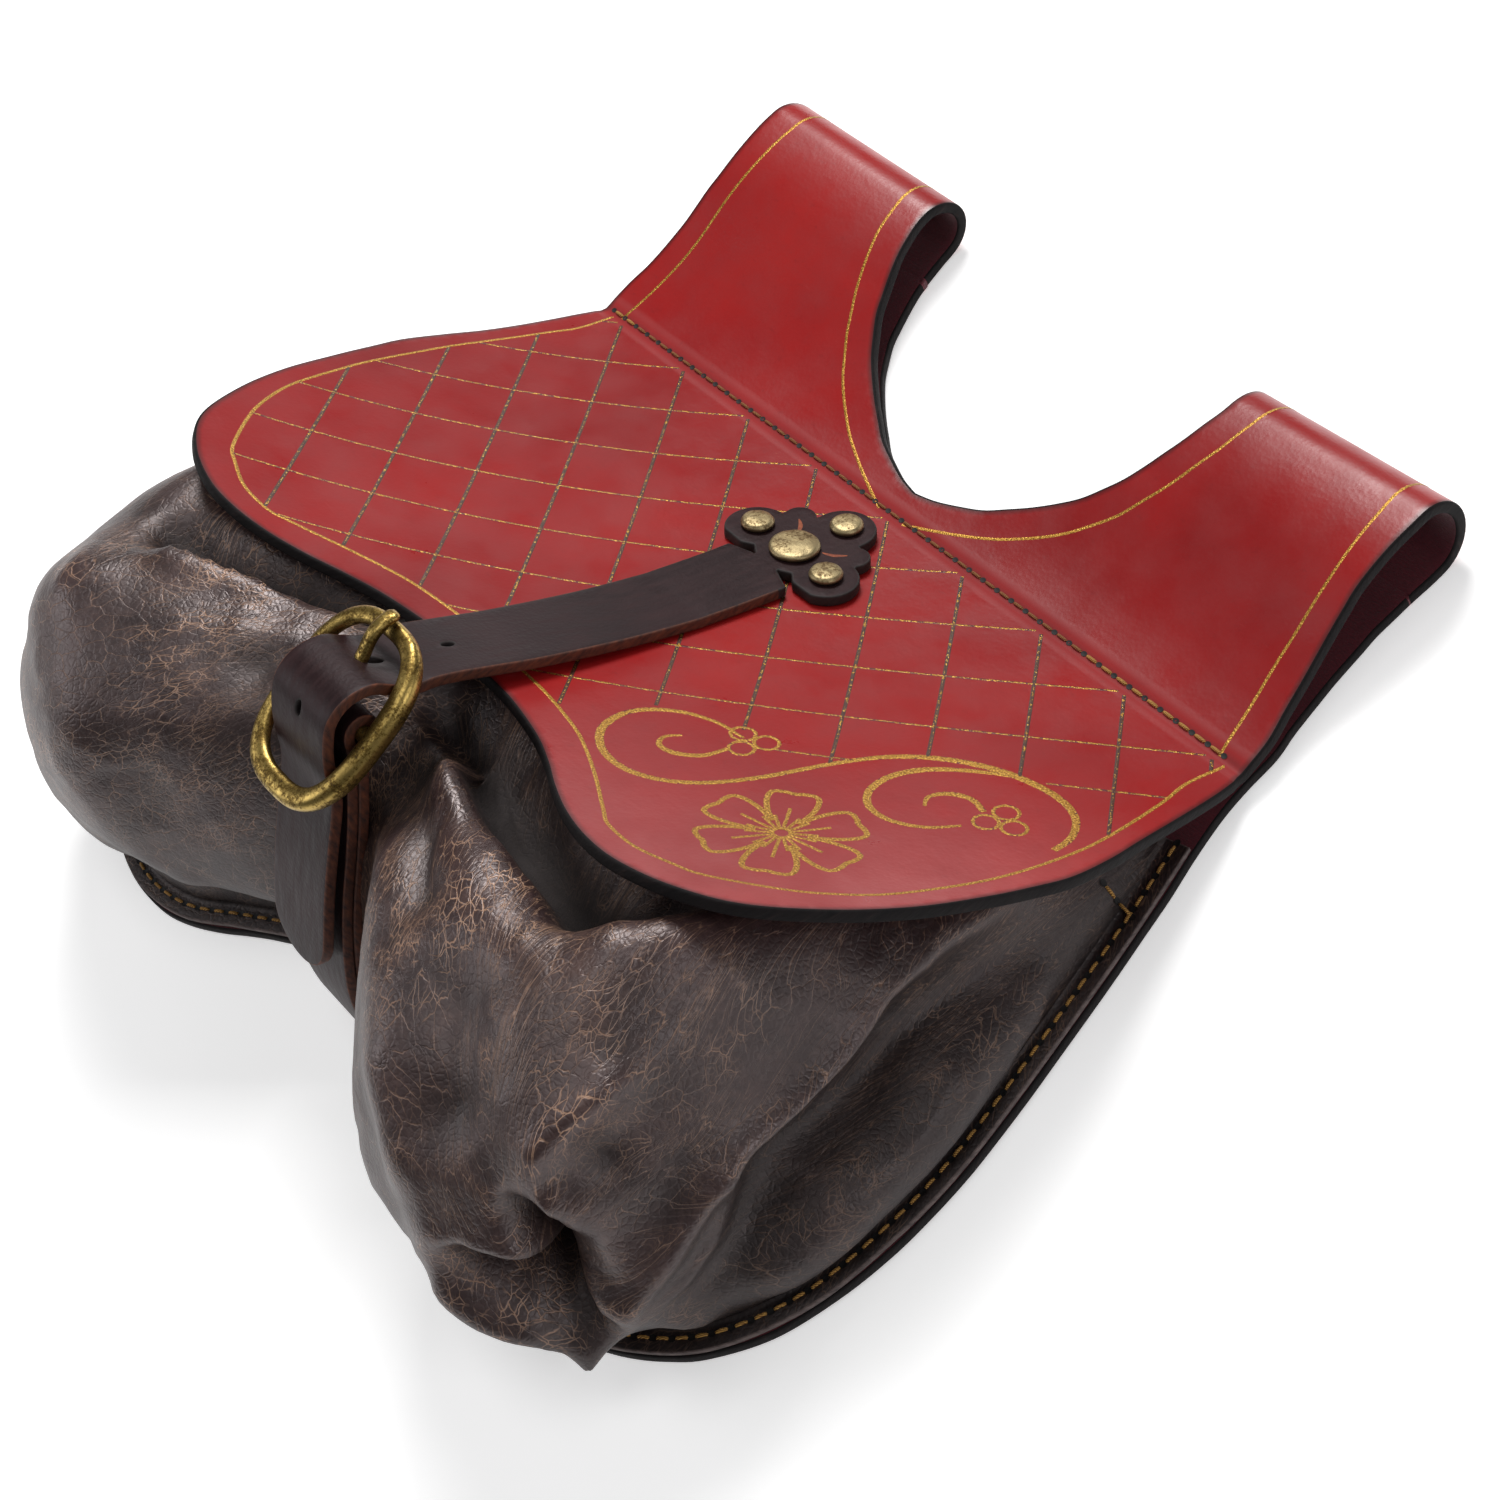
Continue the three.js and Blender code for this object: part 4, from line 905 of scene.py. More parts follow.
# ------------------------------------------------------------------ pouch
POUCH_ROWS = [
    [(133, -20), (124.6, -22, 5.4), (124.2, -22.4, 5.8), (123.9, -22.8, 6.2), (123.6, -23.2, 6.5), (123.2, -23.6, 6.8), (122.8, -24, 7.0), (122.4, -24.4, 7.1), (122, -24.8, 7.2)],
    [(138.3, -41), (130, -41, 8), (128, -41, 11), (125, -40.5, 14), (122, -39.5, 16.5), (119.5, -38, 17.5), (117, -35.5, 16.5), (115.5, -33, 14.5), (114, -30.5, 12.5)],
    [(143.3, -64), (135.5, -63.5, 12), (132.5, -63.5, 18), (128, -63.5, 25), (123, -62, 30.5), (117, -58, 32), (111.5, -51, 28), (107.5, -43, 22), (104, -35, 16)],
    [(147.7, -86), (140.5, -85.5, 14), (136, -85.5, 24), (130.5, -86, 33), (125, -85.5, 43), (117, -81, 47), (110, -70, 41), (103, -54, 29), (96, -37, 18)],
    [(151.2, -108), (144.5, -107.5, 15), (139, -107.5, 27), (132, -107.5, 39), (127, -108, 54), (118, -106, 64), (110, -93, 58.5), (100, -68, 39), (88, -38.5, 19)],
    [(152, -128), (146, -128, 16), (140, -127.5, 29), (133.5, -128, 43), (129, -128.5, 59), (120, -127, 73), (108, -112, 74), (96, -80, 48.5), (80, -39.5, 19.5)],
    [(149.4, -152), (144, -151.5, 16), (138.5, -151, 30), (133.5, -151.5, 46), (129, -152, 62), (118, -150, 77), (102, -130, 82), (88, -90, 54), (70, -40.5, 20)],
    [(140, -173.5), (136.5, -172.5, 16), (134.5, -173.8, 30), (131.5, -173.8, 47), (125.5, -171, 65), (112, -163, 80), (94, -138, 84), (78, -96, 58), (60, -41, 20)],
    [(126, -187), (124.5, -186.5, 15), (124.5, -191, 30), (122, -190, 48), (115.5, -184, 67), (101, -170, 82), (84, -142, 85), (68, -98, 58.5), (50, -41.5, 20)],
    [(108, -196.4), (107.5, -197, 14), (108, -203, 29), (106.5, -202, 48), (100, -192, 69), (88, -174, 83.5), (73, -143, 85), (58, -98, 58), (41, -41.8, 19.8)],
    [(88, -201.4), (88.5, -201.5, 14), (89, -207, 28), (88, -206, 46), (83, -195, 68), (73, -175, 82.5), (61, -143, 84), (48, -98, 57.5), (33, -42, 19.6)],
    [(68, -198.8), (69, -199, 14), (68.5, -204.5, 28), (67, -203, 46), (64, -191, 67), (58, -171, 80.5), (48, -141, 81.5), (38, -97, 56.5), (25, -42, 19.4)],
    [(50, -189.1), (51.5, -189, 14), (50, -194, 28), (49, -192, 46), (46, -180, 65), (42, -162, 78), (35, -134, 79), (27, -95, 55.5), (18, -42, 19.2)],
    [(32, -179.8), (33, -178.5, 14), (31, -181.5, 28), (30, -177, 46), (29, -165, 63.5), (26.5, -149, 75), (22, -126, 75.5), (16.5, -94, 55), (12, -42, 19.1)],
    [(14, -175.8), (14.6, -172.5, 13), (15, -172.5, 27), (15, -165, 43), (14.5, -153, 60), (13, -140, 69.5), (11, -120, 69.5), (8.5, -93, 54), (6, -42, 19)],
    [(0, -175), (0, -171.5, 13), (0, -170, 26), (0, -162, 41.5), (0, -150, 58), (0, -138, 67.5), (0, -119, 67.5), (0, -93, 53.5), (0, -42, 19)],
]
INSET_EDGE, INSET_STITCH, INSET_WALL, SEAM_Z = 0.8, 3.8, 6.5, 3.0 + 0.3 + 1.6


def pouch_stations():
    rows = [[np.array(p, float) for p in r] for r in POUCH_ROWS]
    mirrored = [[p * ([-1, 1] if len(p) == 2 else [-1, 1, 1]) for p in r] for r in rows[:-1]][::-1]
    rows = rows + mirrored
    out = []
    for i, row in enumerate(rows):
        e = row[0]
        t = rows[min(i + 1, len(rows) - 1)][0] - rows[max(i - 1, 0)][0]
        t = t / np.linalg.norm(t)
        nrm = np.array([-t[1], t[0]])
        if nrm @ np.array([-e[0], -100 - e[1]]) < 0:
            nrm = -nrm
        at = lambda d: np.array([e[0] + nrm[0] * d, e[1] + nrm[1] * d, SEAM_Z])
        out.append([at(INSET_EDGE), at(INSET_WALL)] + row[1:])
    return np.array(out)


STATIONS = pouch_stations()
NS, NT = 344, 130

# How the leather has sagged, and its folds. Each line is a fold: its profile ("g" rounded, "r" a crest), its half width,
# and points on the shell (x, y, z) with the height it is raised or sunk by there.
# folds: begin
SAG = [
    ('g', 14, [(-96.1, -159.4, 85.3, 6), (-100.4, -163.5, 83.7, 5)]),
    ('g', 26, [(-102.1, -192.3, 67.8, -4), (-99, -202.5, 52.9, -6.5), (-88.5, -207, 41.5, -8), (-75.7, -206.6, 31.5, -9), (-63.7, -199.9, 20.1, -9), (-47.1, -186.6, 4.9, -7)]),
    ('g', 16, [(-102.8, -133.8, 83.2, -3)]),
    ('g', 26, [(47.4, -180.2, 66.2, -3), (66.1, -188.1, 71.4, -5), (76.9, -196.2, 65.3, -6), (85.7, -200.9, 58.8, -4)]),
    ('g', 12, [(100, -204.2, 47.6, 3), (105.8, -203.9, 42.1, 3.5), (114.2, -199.9, 34.3, 2)]),
]
FOLDS = [
    ('r', 7, [(-2.1, -123.7, 68.7, 4.1), (18.2, -125.8, 74.1, 6.8), (36.8, -128.4, 76.4, 8.1), (57.5, -131.8, 78.9, 8.1), (70.9, -131.9, 80, 6.8), (81.5, -133.6, 81.4, 2.7)]),
    ('g', 12, [(6, -118.4, 67.9, -12.2), (27.4, -118, 71.2, -17.6), (43.6, -122.3, 72.4, -20.2), (62.3, -123.9, 74.9, -18.9), (80.4, -125.6, 77, -16.2), (91.8, -120.5, 75.4, -6.8)]),
    ('g', 8, [(9, -133.9, 69.7, -2.6), (35.1, -142.9, 80.1, -7.4), (48.5, -152.7, 82.3, -7.4), (51.6, -161.2, 80.7, -2.6)]),
    ('g', 10, [(6.7, -153.5, 54.9, 2.7), (2.7, -167.9, 31.1, 2.7)]),
    ('g', 10, [(88.9, -134, 82.1, 1.9), (97.7, -127.9, 80.6, 5.4), (104.7, -121.7, 78.8, 5.4), (112.4, -117, 75.1, 1.9)]),
    ('r', 6, [(122.1, -146, 73, 1.9), (121.1, -153.6, 74.1, 5.4), (120.2, -162.8, 74.1, 5.4), (118.9, -172.6, 71.8, 5.4), (119.6, -179.7, 66.1, 1.9)]),
    ('g', 8, [(126, -154, 67.3, -1.4), (125.9, -162.6, 66.7, -4.1), (124.8, -170.7, 66, -1.4)]),
    ('g', 12, [(65.3, -155.2, 85.4, -2.4), (82, -162.6, 85.5, -6.8), (90.6, -173.5, 82, -6.8), (97.5, -181.3, 76.6, -6.8), (107.1, -183.9, 71.4, -2.4)]),
    ('g', 8, [(60.5, -174.2, 76.1, 1.2), (73.8, -183.7, 71.5, 3.4), (87.1, -193.2, 63.3, 3.4), (94.5, -199.5, 55.8, 1.2)]),
    ('r', 3.6, [(119.2, -181.3, 65.2, 2.7), (123.2, -178.7, 62.7, 6.8), (126.6, -179.1, 55.7, 8.1), (128.6, -182.1, 44.4, 8.1), (129.3, -184.1, 34.7, 8.1), (121.9, -189.7, 17, 4.1)]),
    ('g', 5.4, [(121.2, -183, 60.8, -12), (123.8, -183.1, 56, -23), (126.7, -183, 49, -24), (128.2, -183.8, 42.3, -17)]),
    ('r', 3.6, [(103.6, -200.6, 53.3, 1.4), (111.1, -196.4, 53.3, 4.1), (120, -190.5, 50.6, 4.7), (126.6, -184.9, 45.7, 4.1), (128.6, -184, 40.1, 1.4)]),
    ('g', 5.2, [(111.3, -199.8, 48.6, -12), (119.1, -194.5, 45, -21), (124.7, -189.8, 40.3, -23), (126.8, -188.5, 31.6, -18)]),
    ('g', 5.4, [(112, -203, 43.5, -6), (119.5, -197.8, 39.5, -13), (125, -192.6, 35, -14), (127, -189.5, 29, -9)]),
    ('g', 5, [(104.6, -206.5, 38, 2.7), (111.6, -204.8, 33.6, 5), (119.4, -198.8, 30, 6), (122.4, -194.3, 22, 5.4), (114.5, -192.8, 4.9, 2.7)]),
    ('r', 7, [(125, -60.8, 27.4, 2.7), (126.7, -77.7, 35.5, 5.4), (129, -96.1, 41.7, 7.4), (130.9, -107.6, 41.9, 8.8), (132.8, -118.5, 41.6, 9.5), (133.2, -130.1, 44.5, 9.5), (133.1, -140.8, 47, 8.8), (133.9, -153.5, 44.4, 8.1), (134.5, -166.2, 39.6, 7.4), (131.9, -179.2, 33.5, 6.8), (123.4, -188.9, 18, 4.1)]),
    ('g', 10, [(131.4, -65.6, 21, -4.1), (132.6, -83.8, 28.7, -8.1), (134, -97.8, 32, -10.8), (137, -111.2, 31.5, -12.2), (137.7, -123.8, 33.2, -12.2), (137.6, -135.9, 34.3, -10.8), (138.6, -148.9, 30.4, -8.1), (138.8, -161.7, 25, -4.1)]),
    ('g', 9, [(138.9, -76.1, 10.1, 2.7), (142.9, -95.8, 12.5, 4.1), (145.6, -113.2, 13.1, 4.1), (146.2, -132.1, 13.7, 4.1), (144.2, -151.4, 13.6, 2.7)]),
    ('r', 4, [(133.6, -147.3, 45.8, 1.4), (136.6, -149, 36.2, 4.1), (137.6, -157.4, 30.5, 4.7), (136.6, -167.9, 27.7, 4.1), (134.4, -175.4, 26.7, 1.4)]),
    ('g', 4, [(132.9, -178.6, 25.8, 0.9), (135.5, -173.7, 14.3, 2.7), (137.7, -167.6, 4.9, 0.9)]),
    ('r', 5, [(-94.4, -137, 81.8, 2.7), (-82.5, -138.7, 83.4, 6.1), (-70.8, -134.4, 81.3, 6.8), (-58.9, -129.3, 77.8, 6.8), (-47.4, -125.6, 74.5, 6.1), (-35.3, -121.3, 72.5, 4.1)]),
    ('g', 7, [(-90.7, -133.7, 80.5, -9.5), (-84.2, -130.5, 79.3, -12.2), (-72, -126.6, 77, -12.2), (-59.4, -121.1, 73, -12.2), (-47.5, -117.6, 69.9, -10.8), (-39.7, -113.4, 67, -8.1)]),
    ('g', 6, [(-92.8, -123.5, 76.1, 0.9), (-82.2, -122.4, 75, 2.7), (-67.2, -118.2, 71.6, 0.9)]),
    ('r', 9, [(-56.9, -148.2, 84.4, 1.2), (-47.7, -139.9, 81.1, 3.4), (-40.1, -134.2, 79, 3.4), (-39.7, -127.8, 75.8, 1.2)]),
    ('g', 9, [(-45.3, -146.3, 82.3, -1.6), (-36.6, -140.9, 80.6, -4.7), (-29.3, -141.4, 78.8, -1.6)]),
    ('g', 15, [(-85.6, -162.7, 89.1, 0.7), (-77.4, -175.4, 82.3, 2), (-65.9, -186.6, 72.1, 2), (-59.6, -192.7, 57.3, 0.7)]),
    ('g', 15, [(-61.9, -179, 77.3, -1.2), (-55.4, -184.5, 68, -3.4), (-49.3, -186, 58.2, -3.4), (-40.8, -184.4, 46.2, -1.2)]),
    ('g', 8, [(-60.2, -194.9, 41, 0.9), (-52.8, -189.6, 30.9, 2.7), (-66.7, -188, -0.7, 2.7), (-54.5, -180.6, -1.1, 0.9)]),
    ('r', 7, [(-125, -60.8, 27.4, 2.7), (-126.7, -77.7, 35.5, 5.4), (-129, -96.1, 41.7, 7.4), (-130.9, -107.6, 41.9, 8.8), (-132.8, -118.5, 41.6, 9.5), (-133.2, -130.1, 44.5, 9.5), (-133.1, -140.8, 47, 8.8), (-133.9, -153.5, 44.4, 8.1), (-134.5, -166.2, 39.6, 7.4), (-131.9, -179.2, 33.5, 6.8), (-123.4, -188.9, 18, 4.1)]),
    ('g', 10, [(-131.4, -65.6, 21, -4.1), (-132.6, -83.8, 28.7, -8.1), (-134, -97.8, 32, -10.8), (-137, -111.2, 31.5, -12.2), (-137.7, -123.8, 33.2, -12.2), (-137.6, -135.9, 34.3, -10.8), (-138.6, -148.9, 30.4, -8.1), (-138.8, -161.7, 25, -4.1)]),
    ('g', 9, [(-138.9, -76.1, 10.1, 2.7), (-142.9, -95.8, 12.5, 4.1), (-145.6, -113.2, 13.1, 4.1), (-146.2, -132.1, 13.7, 4.1), (-144.2, -151.4, 13.6, 2.7)]),
    ('r', 4, [(-133.6, -147.3, 45.8, 1.4), (-136.6, -149, 36.2, 4.1), (-137.6, -157.4, 30.5, 4.7), (-136.6, -167.9, 27.7, 4.1), (-134.4, -175.4, 26.7, 1.4)]),
    ('g', 4, [(-132.9, -178.6, 25.8, 0.9), (-135.5, -173.7, 14.3, 2.7), (-137.7, -167.6, 4.9, 0.9)]),
]
# folds: end


def pouch_surface(ns, nt):
    s = np.linspace(0, 1, ns + 1)
    cols = catmull(STATIONS, s)  # (ns+1, 10, 3)
    t = np.linspace(0, 1, nt + 1)
    P = np.zeros((ns + 1, nt + 4, 3))
    for i in range(ns + 1):
        c = cols[i]
        P[i, :3] = c[0] + (c[1] - c[0]) * np.linspace(0, 0.75, 3)[:, None]
        P[i, 3:] = catmull(c[1:], t)
    return P


def grid_normals(P):
    du = np.gradient(P, axis=0)
    dv = np.gradient(P, axis=1)
    n = np.cross(dv, du)
    n = n / np.maximum(np.linalg.norm(n, axis=-1, keepdims=True), 1e-9)
    return n if n[P.shape[0] // 2, int(P.shape[1] * 0.65)][2] > 0 else -n


def folded(P, folds):
    """The surface moved along its normals by the folds."""
    N = grid_normals(P).reshape(-1, 3)
    V = P.reshape(-1, 3)
    off = np.zeros(len(V))
    for kind, r, pts in folds:
        pts = np.array(pts, float)
        best, amp = np.full(len(V), 1e9), np.zeros(len(V))
        for k in range(max(len(pts) - 1, 1)):
            p, q = pts[k], pts[min(k + 1, len(pts) - 1)]
            ab = q[:3] - p[:3]
            t = np.clip(((V - p[:3]) @ ab) / max(ab @ ab, 1e-9), 0, 1)
            d = np.linalg.norm(V - (p[:3] + t[:, None] * ab), axis=1)
            w = d < best
            best[w] = d[w]
            amp[w] = (p[3] + (q[3] - p[3]) * t)[w]
        f = best / r
        off += amp * (np.exp(-f * f) if kind == "g" else np.exp(-np.sqrt(f * f + 0.09) * 1.6 + 0.48))
    return V, N, off


def seam_fade(shape):
    """0 on the sewn margin, rising to 1 up the wall."""
    j = np.arange(shape[1])
    return np.tile(np.clip((j - 3) / 9.0, 0, 1) ** 1.2, (shape[0], 1)).reshape(-1, 1)


POUCH_P = pouch_surface(NS, NT)
POUCH_SHAPE = POUCH_P.shape[:2]
fade = seam_fade(POUCH_SHAPE)
for folds in (SAG, FOLDS):
    V, N, off = folded(POUCH_P, folds)
    POUCH_P = (V + N * off[:, None] * fade).reshape(POUCH_P.shape)
# soft creases and puckers all over
V, N = POUCH_P.reshape(-1, 3), grid_normals(POUCH_P).reshape(-1, 3)
wr = np.zeros(len(V))
noise.seed_set(7)  # noise_vector is seeded by the clock otherwise
for i, p in enumerate(V):
    q = Vector(p)
    warp = noise.noise_vector(q / 34.0) * 9.0
    ridge = 1.0 - abs(noise.noise((q + warp) / 17.0))
    ridge2 = 1.0 - abs(noise.noise((q + warp * 0.6 + Vector((40, 7, 3))) / 8.0))
    wr[i] = 1.2 * noise.noise(q / 34.0) + 0.38 * (ridge ** 6 - 0.3) + 0.12 * (ridge2 ** 6 - 0.3) + 0.05 * noise.noise(q / 3.0)
POUCH_P = (V + N * wr[:, None] * fade).reshape(POUCH_P.shape)
for _ in range(1):
    Q = POUCH_P.copy()
    Q[1:-1, 4:-1] = 0.5 * POUCH_P[1:-1, 4:-1] + 0.125 * (POUCH_P[:-2, 4:-1] + POUCH_P[2:, 4:-1] + POUCH_P[1:-1, 3:-2] + POUCH_P[1:-1, 5:])
    POUCH_P = Q
N_P = grid_normals(POUCH_P)
tri = grid_tris(*POUCH_SHAPE, flip=False)
flat, nflat = POUCH_P.reshape(-1, 3), N_P.reshape(-1, 3)
a, b, c = flat[tri[:, 0]], flat[tri[:, 1]], flat[tri[:, 2]]
if ((np.cross(b - a, c - a) * nflat[tri[:, 0]]).sum(1)).mean() < 0:
    tri = tri[:, ::-1]
# flat lengths along and up the shell, for the crackle
run_u = np.cumsum(np.pad(np.linalg.norm(np.diff(POUCH_P, axis=0), axis=2), ((1, 0), (0, 0))), axis=0)
half, lobe = NS // 2, NS // 3
run_u = np.vstack([run_u[:half + 1] - run_u[lobe], run_u[half + 1:] - run_u[NS - lobe] + 0.6 * run_u[half].mean()])
run_v = np.cumsum(np.pad(np.linalg.norm(np.diff(POUCH_P, axis=1), axis=2), ((0, 0), (1, 0))), axis=1)
uvp = np.stack([run_u, run_v], -1).reshape(-1, 2) * 0.001
pouch = leather_sheet("pouch_shell", flat, nflat, tri, uvp, T_POUCH, [POUCH, POUCH_IN, POUCH_EDGE], 0.35)
# 1 on rubbed high spots (wear), lower in hollows (unrubbed leather and painted shade), and towards 0 low on the wall
# beside the seam and on faces turned down (painted shade)
soft = POUCH_P.copy()
for _ in range(70):
    soft[1:-1, 1:-1] = 0.5 * soft[1:-1, 1:-1] + 0.125 * (soft[:-2, 1:-1] + soft[2:, 1:-1] + soft[1:-1, :-2] + soft[1:-1, 2:])
raised = ((POUCH_P - soft) * N_P).sum(-1)
wear_and_painted_shade = np.clip(0.48 + raised / 4.2, 0, 1) * (0.12 + 0.88 * np.clip((POUCH_P[..., 2] - 12) / 40, 0, 1)) * (0.3 + 0.7 * np.clip(0.45 + 1.1 * N_P[..., 2], 0, 1))
wear_and_painted_shade = wear_and_painted_shade.ravel()
# deep: near-black painted shade in the deepest hollows
deep = np.clip((-raised - 1.8) / 2.8, 0, 0.92).ravel()
for name, value in (("wear_and_painted_shade", wear_and_painted_shade), ("deep", deep)):
    at = pouch.data.attributes.new(name, "FLOAT", "POINT")
    at.data.foreach_set("value", np.r_[value, value, np.full(len(pouch.data.vertices) - 2 * len(value), 0.2)].astype(np.float32))
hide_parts("pouch")
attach(pouch, "bag")


# ------------------------------------------------------------------ stitches
def thread_piece(name, segs, radius, mat, body, sides=8):
    """Short stitches, each a thin bowed capsule between two points, raised a little in its middle."""
    V, F = [], []
    k = 0
    for a, b, up in segs:
        a, b, up = np.array(a), np.array(b), np.array(up)
        t = b - a
        L = np.linalg.norm(t)
        t = t / L
        side = np.cross(t, up)
        side /= np.linalg.norm(side)
        up2 = np.cross(side, t)
        rings = [(-0.02, -0.75, 0.35), (0.06, -0.15, 0.85), (0.2, 0.22, 1.0), (0.5, 0.42, 1.05), (0.8, 0.22, 1.0), (0.94, -0.15, 0.85), (1.02, -0.75, 0.35)]
        for f, h, r in rings:
            c = a + t * L * f + up2 * h * radius
            for q in range(sides):
                w = 2 * math.pi * q / sides
                V.append(c + side * math.cos(w) * radius * r + up2 * math.sin(w) * radius * r)
        for i in range(len(rings) - 1):
            for q in range(sides):
                q2 = (q + 1) % sides
                F.append((k + i * sides + q, k + i * sides + q2, k + (i + 1) * sides + q2, k + (i + 1) * sides + q))
        F.append(tuple(k + q for q in range(sides))[::-1])
        F.append(tuple(k + (len(rings) - 1) * sides + q for q in range(sides)))
        k += len(rings) * sides
    V = np.array(V)
    uv = V[:, :2] * 0.001
    ob = make_object(name, V, F, [mat], None, {"UVMap": uv})
    bm = bmesh.new(); bm.from_mesh(ob.data); bmesh.ops.recalc_face_normals(bm, faces=bm.faces); bm.to_mesh(ob.data); bm.free()
    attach(ob, body)
    return ob


def hole_piece(name, holes, radius, body):
    """Needle holes: small dished discs let into the leather, near black as painted shade inside the holes."""
    V, F = [], []
    k = 0
    for c, up, t in holes:
        c, up, t = np.array(c), np.array(up), np.array(t)
        t = t - up * (t @ up)
        t /= np.linalg.norm(t)
        s = np.cross(up, t)
        for rr, h in ((1.0, 0.15), (0.72, 0.11), (0.35, 0.05)):
            for q in range(10):
                w = 2 * math.pi * q / 10
                V.append(c + (t * math.cos(w) * 1.25 + s * math.sin(w)) * radius * rr + up * h)
        for i in range(2):
            for q in range(10):
                q2 = (q + 1) % 10
                F.append((k + i * 10 + q, k + i * 10 + q2, k + (i + 1) * 10 + q2, k + (i + 1) * 10 + q))
        F.append(tuple(k + 20 + q for q in range(10)))
        k += 30
    V = np.array(V)
    ob = make_object(name, V, F, [HOLE], None, {"UVMap": V[:, :2] * 0.001})
    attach(ob, body)
    return ob


# top seam: dark thread with an ochre run at each end
TOP_B, PITCH = 1.6, 5.4
xs = np.arange(-126, 126.1, PITCH)
seg_dark, seg_ochre, holes = [], [], []
for i, x in enumerate(xs):
    p, nn = pattern(np.array([x]), np.array([TOP_B]))[0], pattern_normal(np.array([x]), np.array([TOP_B]))[0]
    holes.append((p, nn, (1, 0, 0)))
    if i + 1 < len(xs):
        q = pattern(np.array([xs[i + 1]]), np.array([TOP_B]))[0]
        up = nn
        s0, s1 = p + (q - p) * 0.17 + up * 0.14, p + (q - p) * 0.83 + up * 0.14
        (seg_ochre if i < 2 or i >= len(xs) - 10 else seg_dark).append((s0, s1, up))
thread_piece("top_seam_stitches", seg_dark, 0.4, DARK_THREAD, "bag")
t_top = thread_piece("top_seam_end_stitches", seg_ochre, 0.45, OCHRE, "bag")
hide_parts("top_seam_thread")
hole_piece("top_seam_holes", holes, 0.72, "bag")

# pouch seam
k = (INSET_STITCH - INSET_EDGE) / (INSET_WALL - INSET_EDGE)
cols = catmull(STATIONS[:, :2], np.linspace(0, 1, 1200))
line = cols[:, 0] + (cols[:, 1] - cols[:, 0]) * k
line = resample(line, 4.7)
segs, holes = [], []
up = np.array([0, 0, 1.0])
for i in range(len(line) - 1):
    holes.append((line[i], up, line[i + 1] - line[i]))
    segs.append((line[i] + (line[i + 1] - line[i]) * 0.16 + up * 0.1, line[i] + (line[i + 1] - line[i]) * 0.84 + up * 0.1, up))
t_pouch = thread_piece("pouch_seam_stitches", segs, 0.42, OCHRE, "bag")
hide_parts("pouch_seam_thread")
hole_piece("pouch_seam_holes", holes, 0.85, "bag")


# a short run of stitches across each upper corner of the pouch
segs, holes = [], []
for sx in (1, -1):
    run = []
    for c in ((134.2, -40.2, 4.9), (130.6, -39.8, 6.8), (127.2, -39.4, 10.8)):
        k = int(np.argmin(np.linalg.norm(flat - np.array([c[0] * sx, c[1], c[2]]), axis=1)))
        run.append((flat[k] + nflat[k] * 0.12, nflat[k]))
    for (p, pn), (q, qn) in zip(run[:-1], run[1:]):
        segs.append((p + (q - p) * 0.14, p + (q - p) * 0.86, (pn + qn) / 2))
    for k, (p, pn) in enumerate(run):
        holes.append((p, pn, run[min(k + 1, 2)][0] - run[min(k, 1)][0]))
thread_piece("pouch_corner_stitches", segs, 0.42, OCHRE, "bag")
hole_piece("pouch_corner_holes", holes, 0.8, "bag")


# ------------------------------------------------------------------ closure strap
STRAP_RUN = [
    (-74.4, 51.4), (-92.9, 65.9), (-104, 75.5), (-111, 81.6), (-116, 85.4), (-120.6, 88.0), (-124.6, 92.6), (-128.6, 97.3), (-135.4, 99.5),
    (-142, 97.5), (-146.8, 91.6), (-150, 85.0), (-153.0, 77.4), (-160.8, 67), (-169.6, 55), (-177.6, 42.7), (-181.8, 35.2),
]
run = [tuple(flap_raw(0.0, float(v), 0.25 + T_STRAP)[1:]) for v in np.arange(4, 70, 4.0)]
strap_path = catmull(np.array(run + STRAP_RUN), np.linspace(0, 1, 1600))
strap_path = resample(strap_path, 0.8)
strap_s = np.arange(len(strap_path)) * 0.8


def strap_at(s, x=0.0):
    y, z = np.interp(s, strap_s, strap_path[:, 0]), np.interp(s, strap_s, strap_path[:, 1])
    return np.stack([np.broadcast_to(x, np.shape(y)), y, z], -1)


def strap_normal(s):
    e = 1.0
    d = strap_at(s + e) - strap_at(s - e)
    nrm = np.stack([0 * d[..., 0], d[..., 2], -d[..., 1]], -1)
    return nrm / np.linalg.norm(nrm, axis=-1, keepdims=True)


# the strap's own flat frame: x across, s along it from v = 4 on the flap
V_OF_S = lambda v: float(np.interp(v, np.arange(4, 70, 4.0), [np.interp(flap_raw(0.0, float(q), 0.25 + T_STRAP)[1], strap_path[::-1, 0], strap_s[::-1]) for q in np.arange(4, 70, 4.0)]))


def head_outline():
    """The clover head: three large lobes, small scallops between them, running into the strap."""
    circles = [(-14.2, 30.5, 8.4), (14.2, 30.5, 8.4), (0.3, 14.4, 8.4), (-11.0, 19.6, 4.3), (11.2, 19.6, 4.3)]
    cx, cy = 0.0, 27.0
    pts = []
    for w in np.linspace(-math.pi * 0.5, math.pi * 1.5, 260, endpoint=False):
        dx, dy = math.cos(w), math.sin(w)
        best = 3.0
        for u, v, r in circles + [(0, 27, 12.0)]:
            px, py = u - cx, v - cy
            b = px * dx + py * dy
            d = b * b - (px * px + py * py - r * r)
            if d > 0:
                best = max(best, b + math.sqrt(d))
        pts.append((cx + best * dx, cy + best * dy))
    return np.array(pts)


total = strap_s[-1]
head = head_outline()
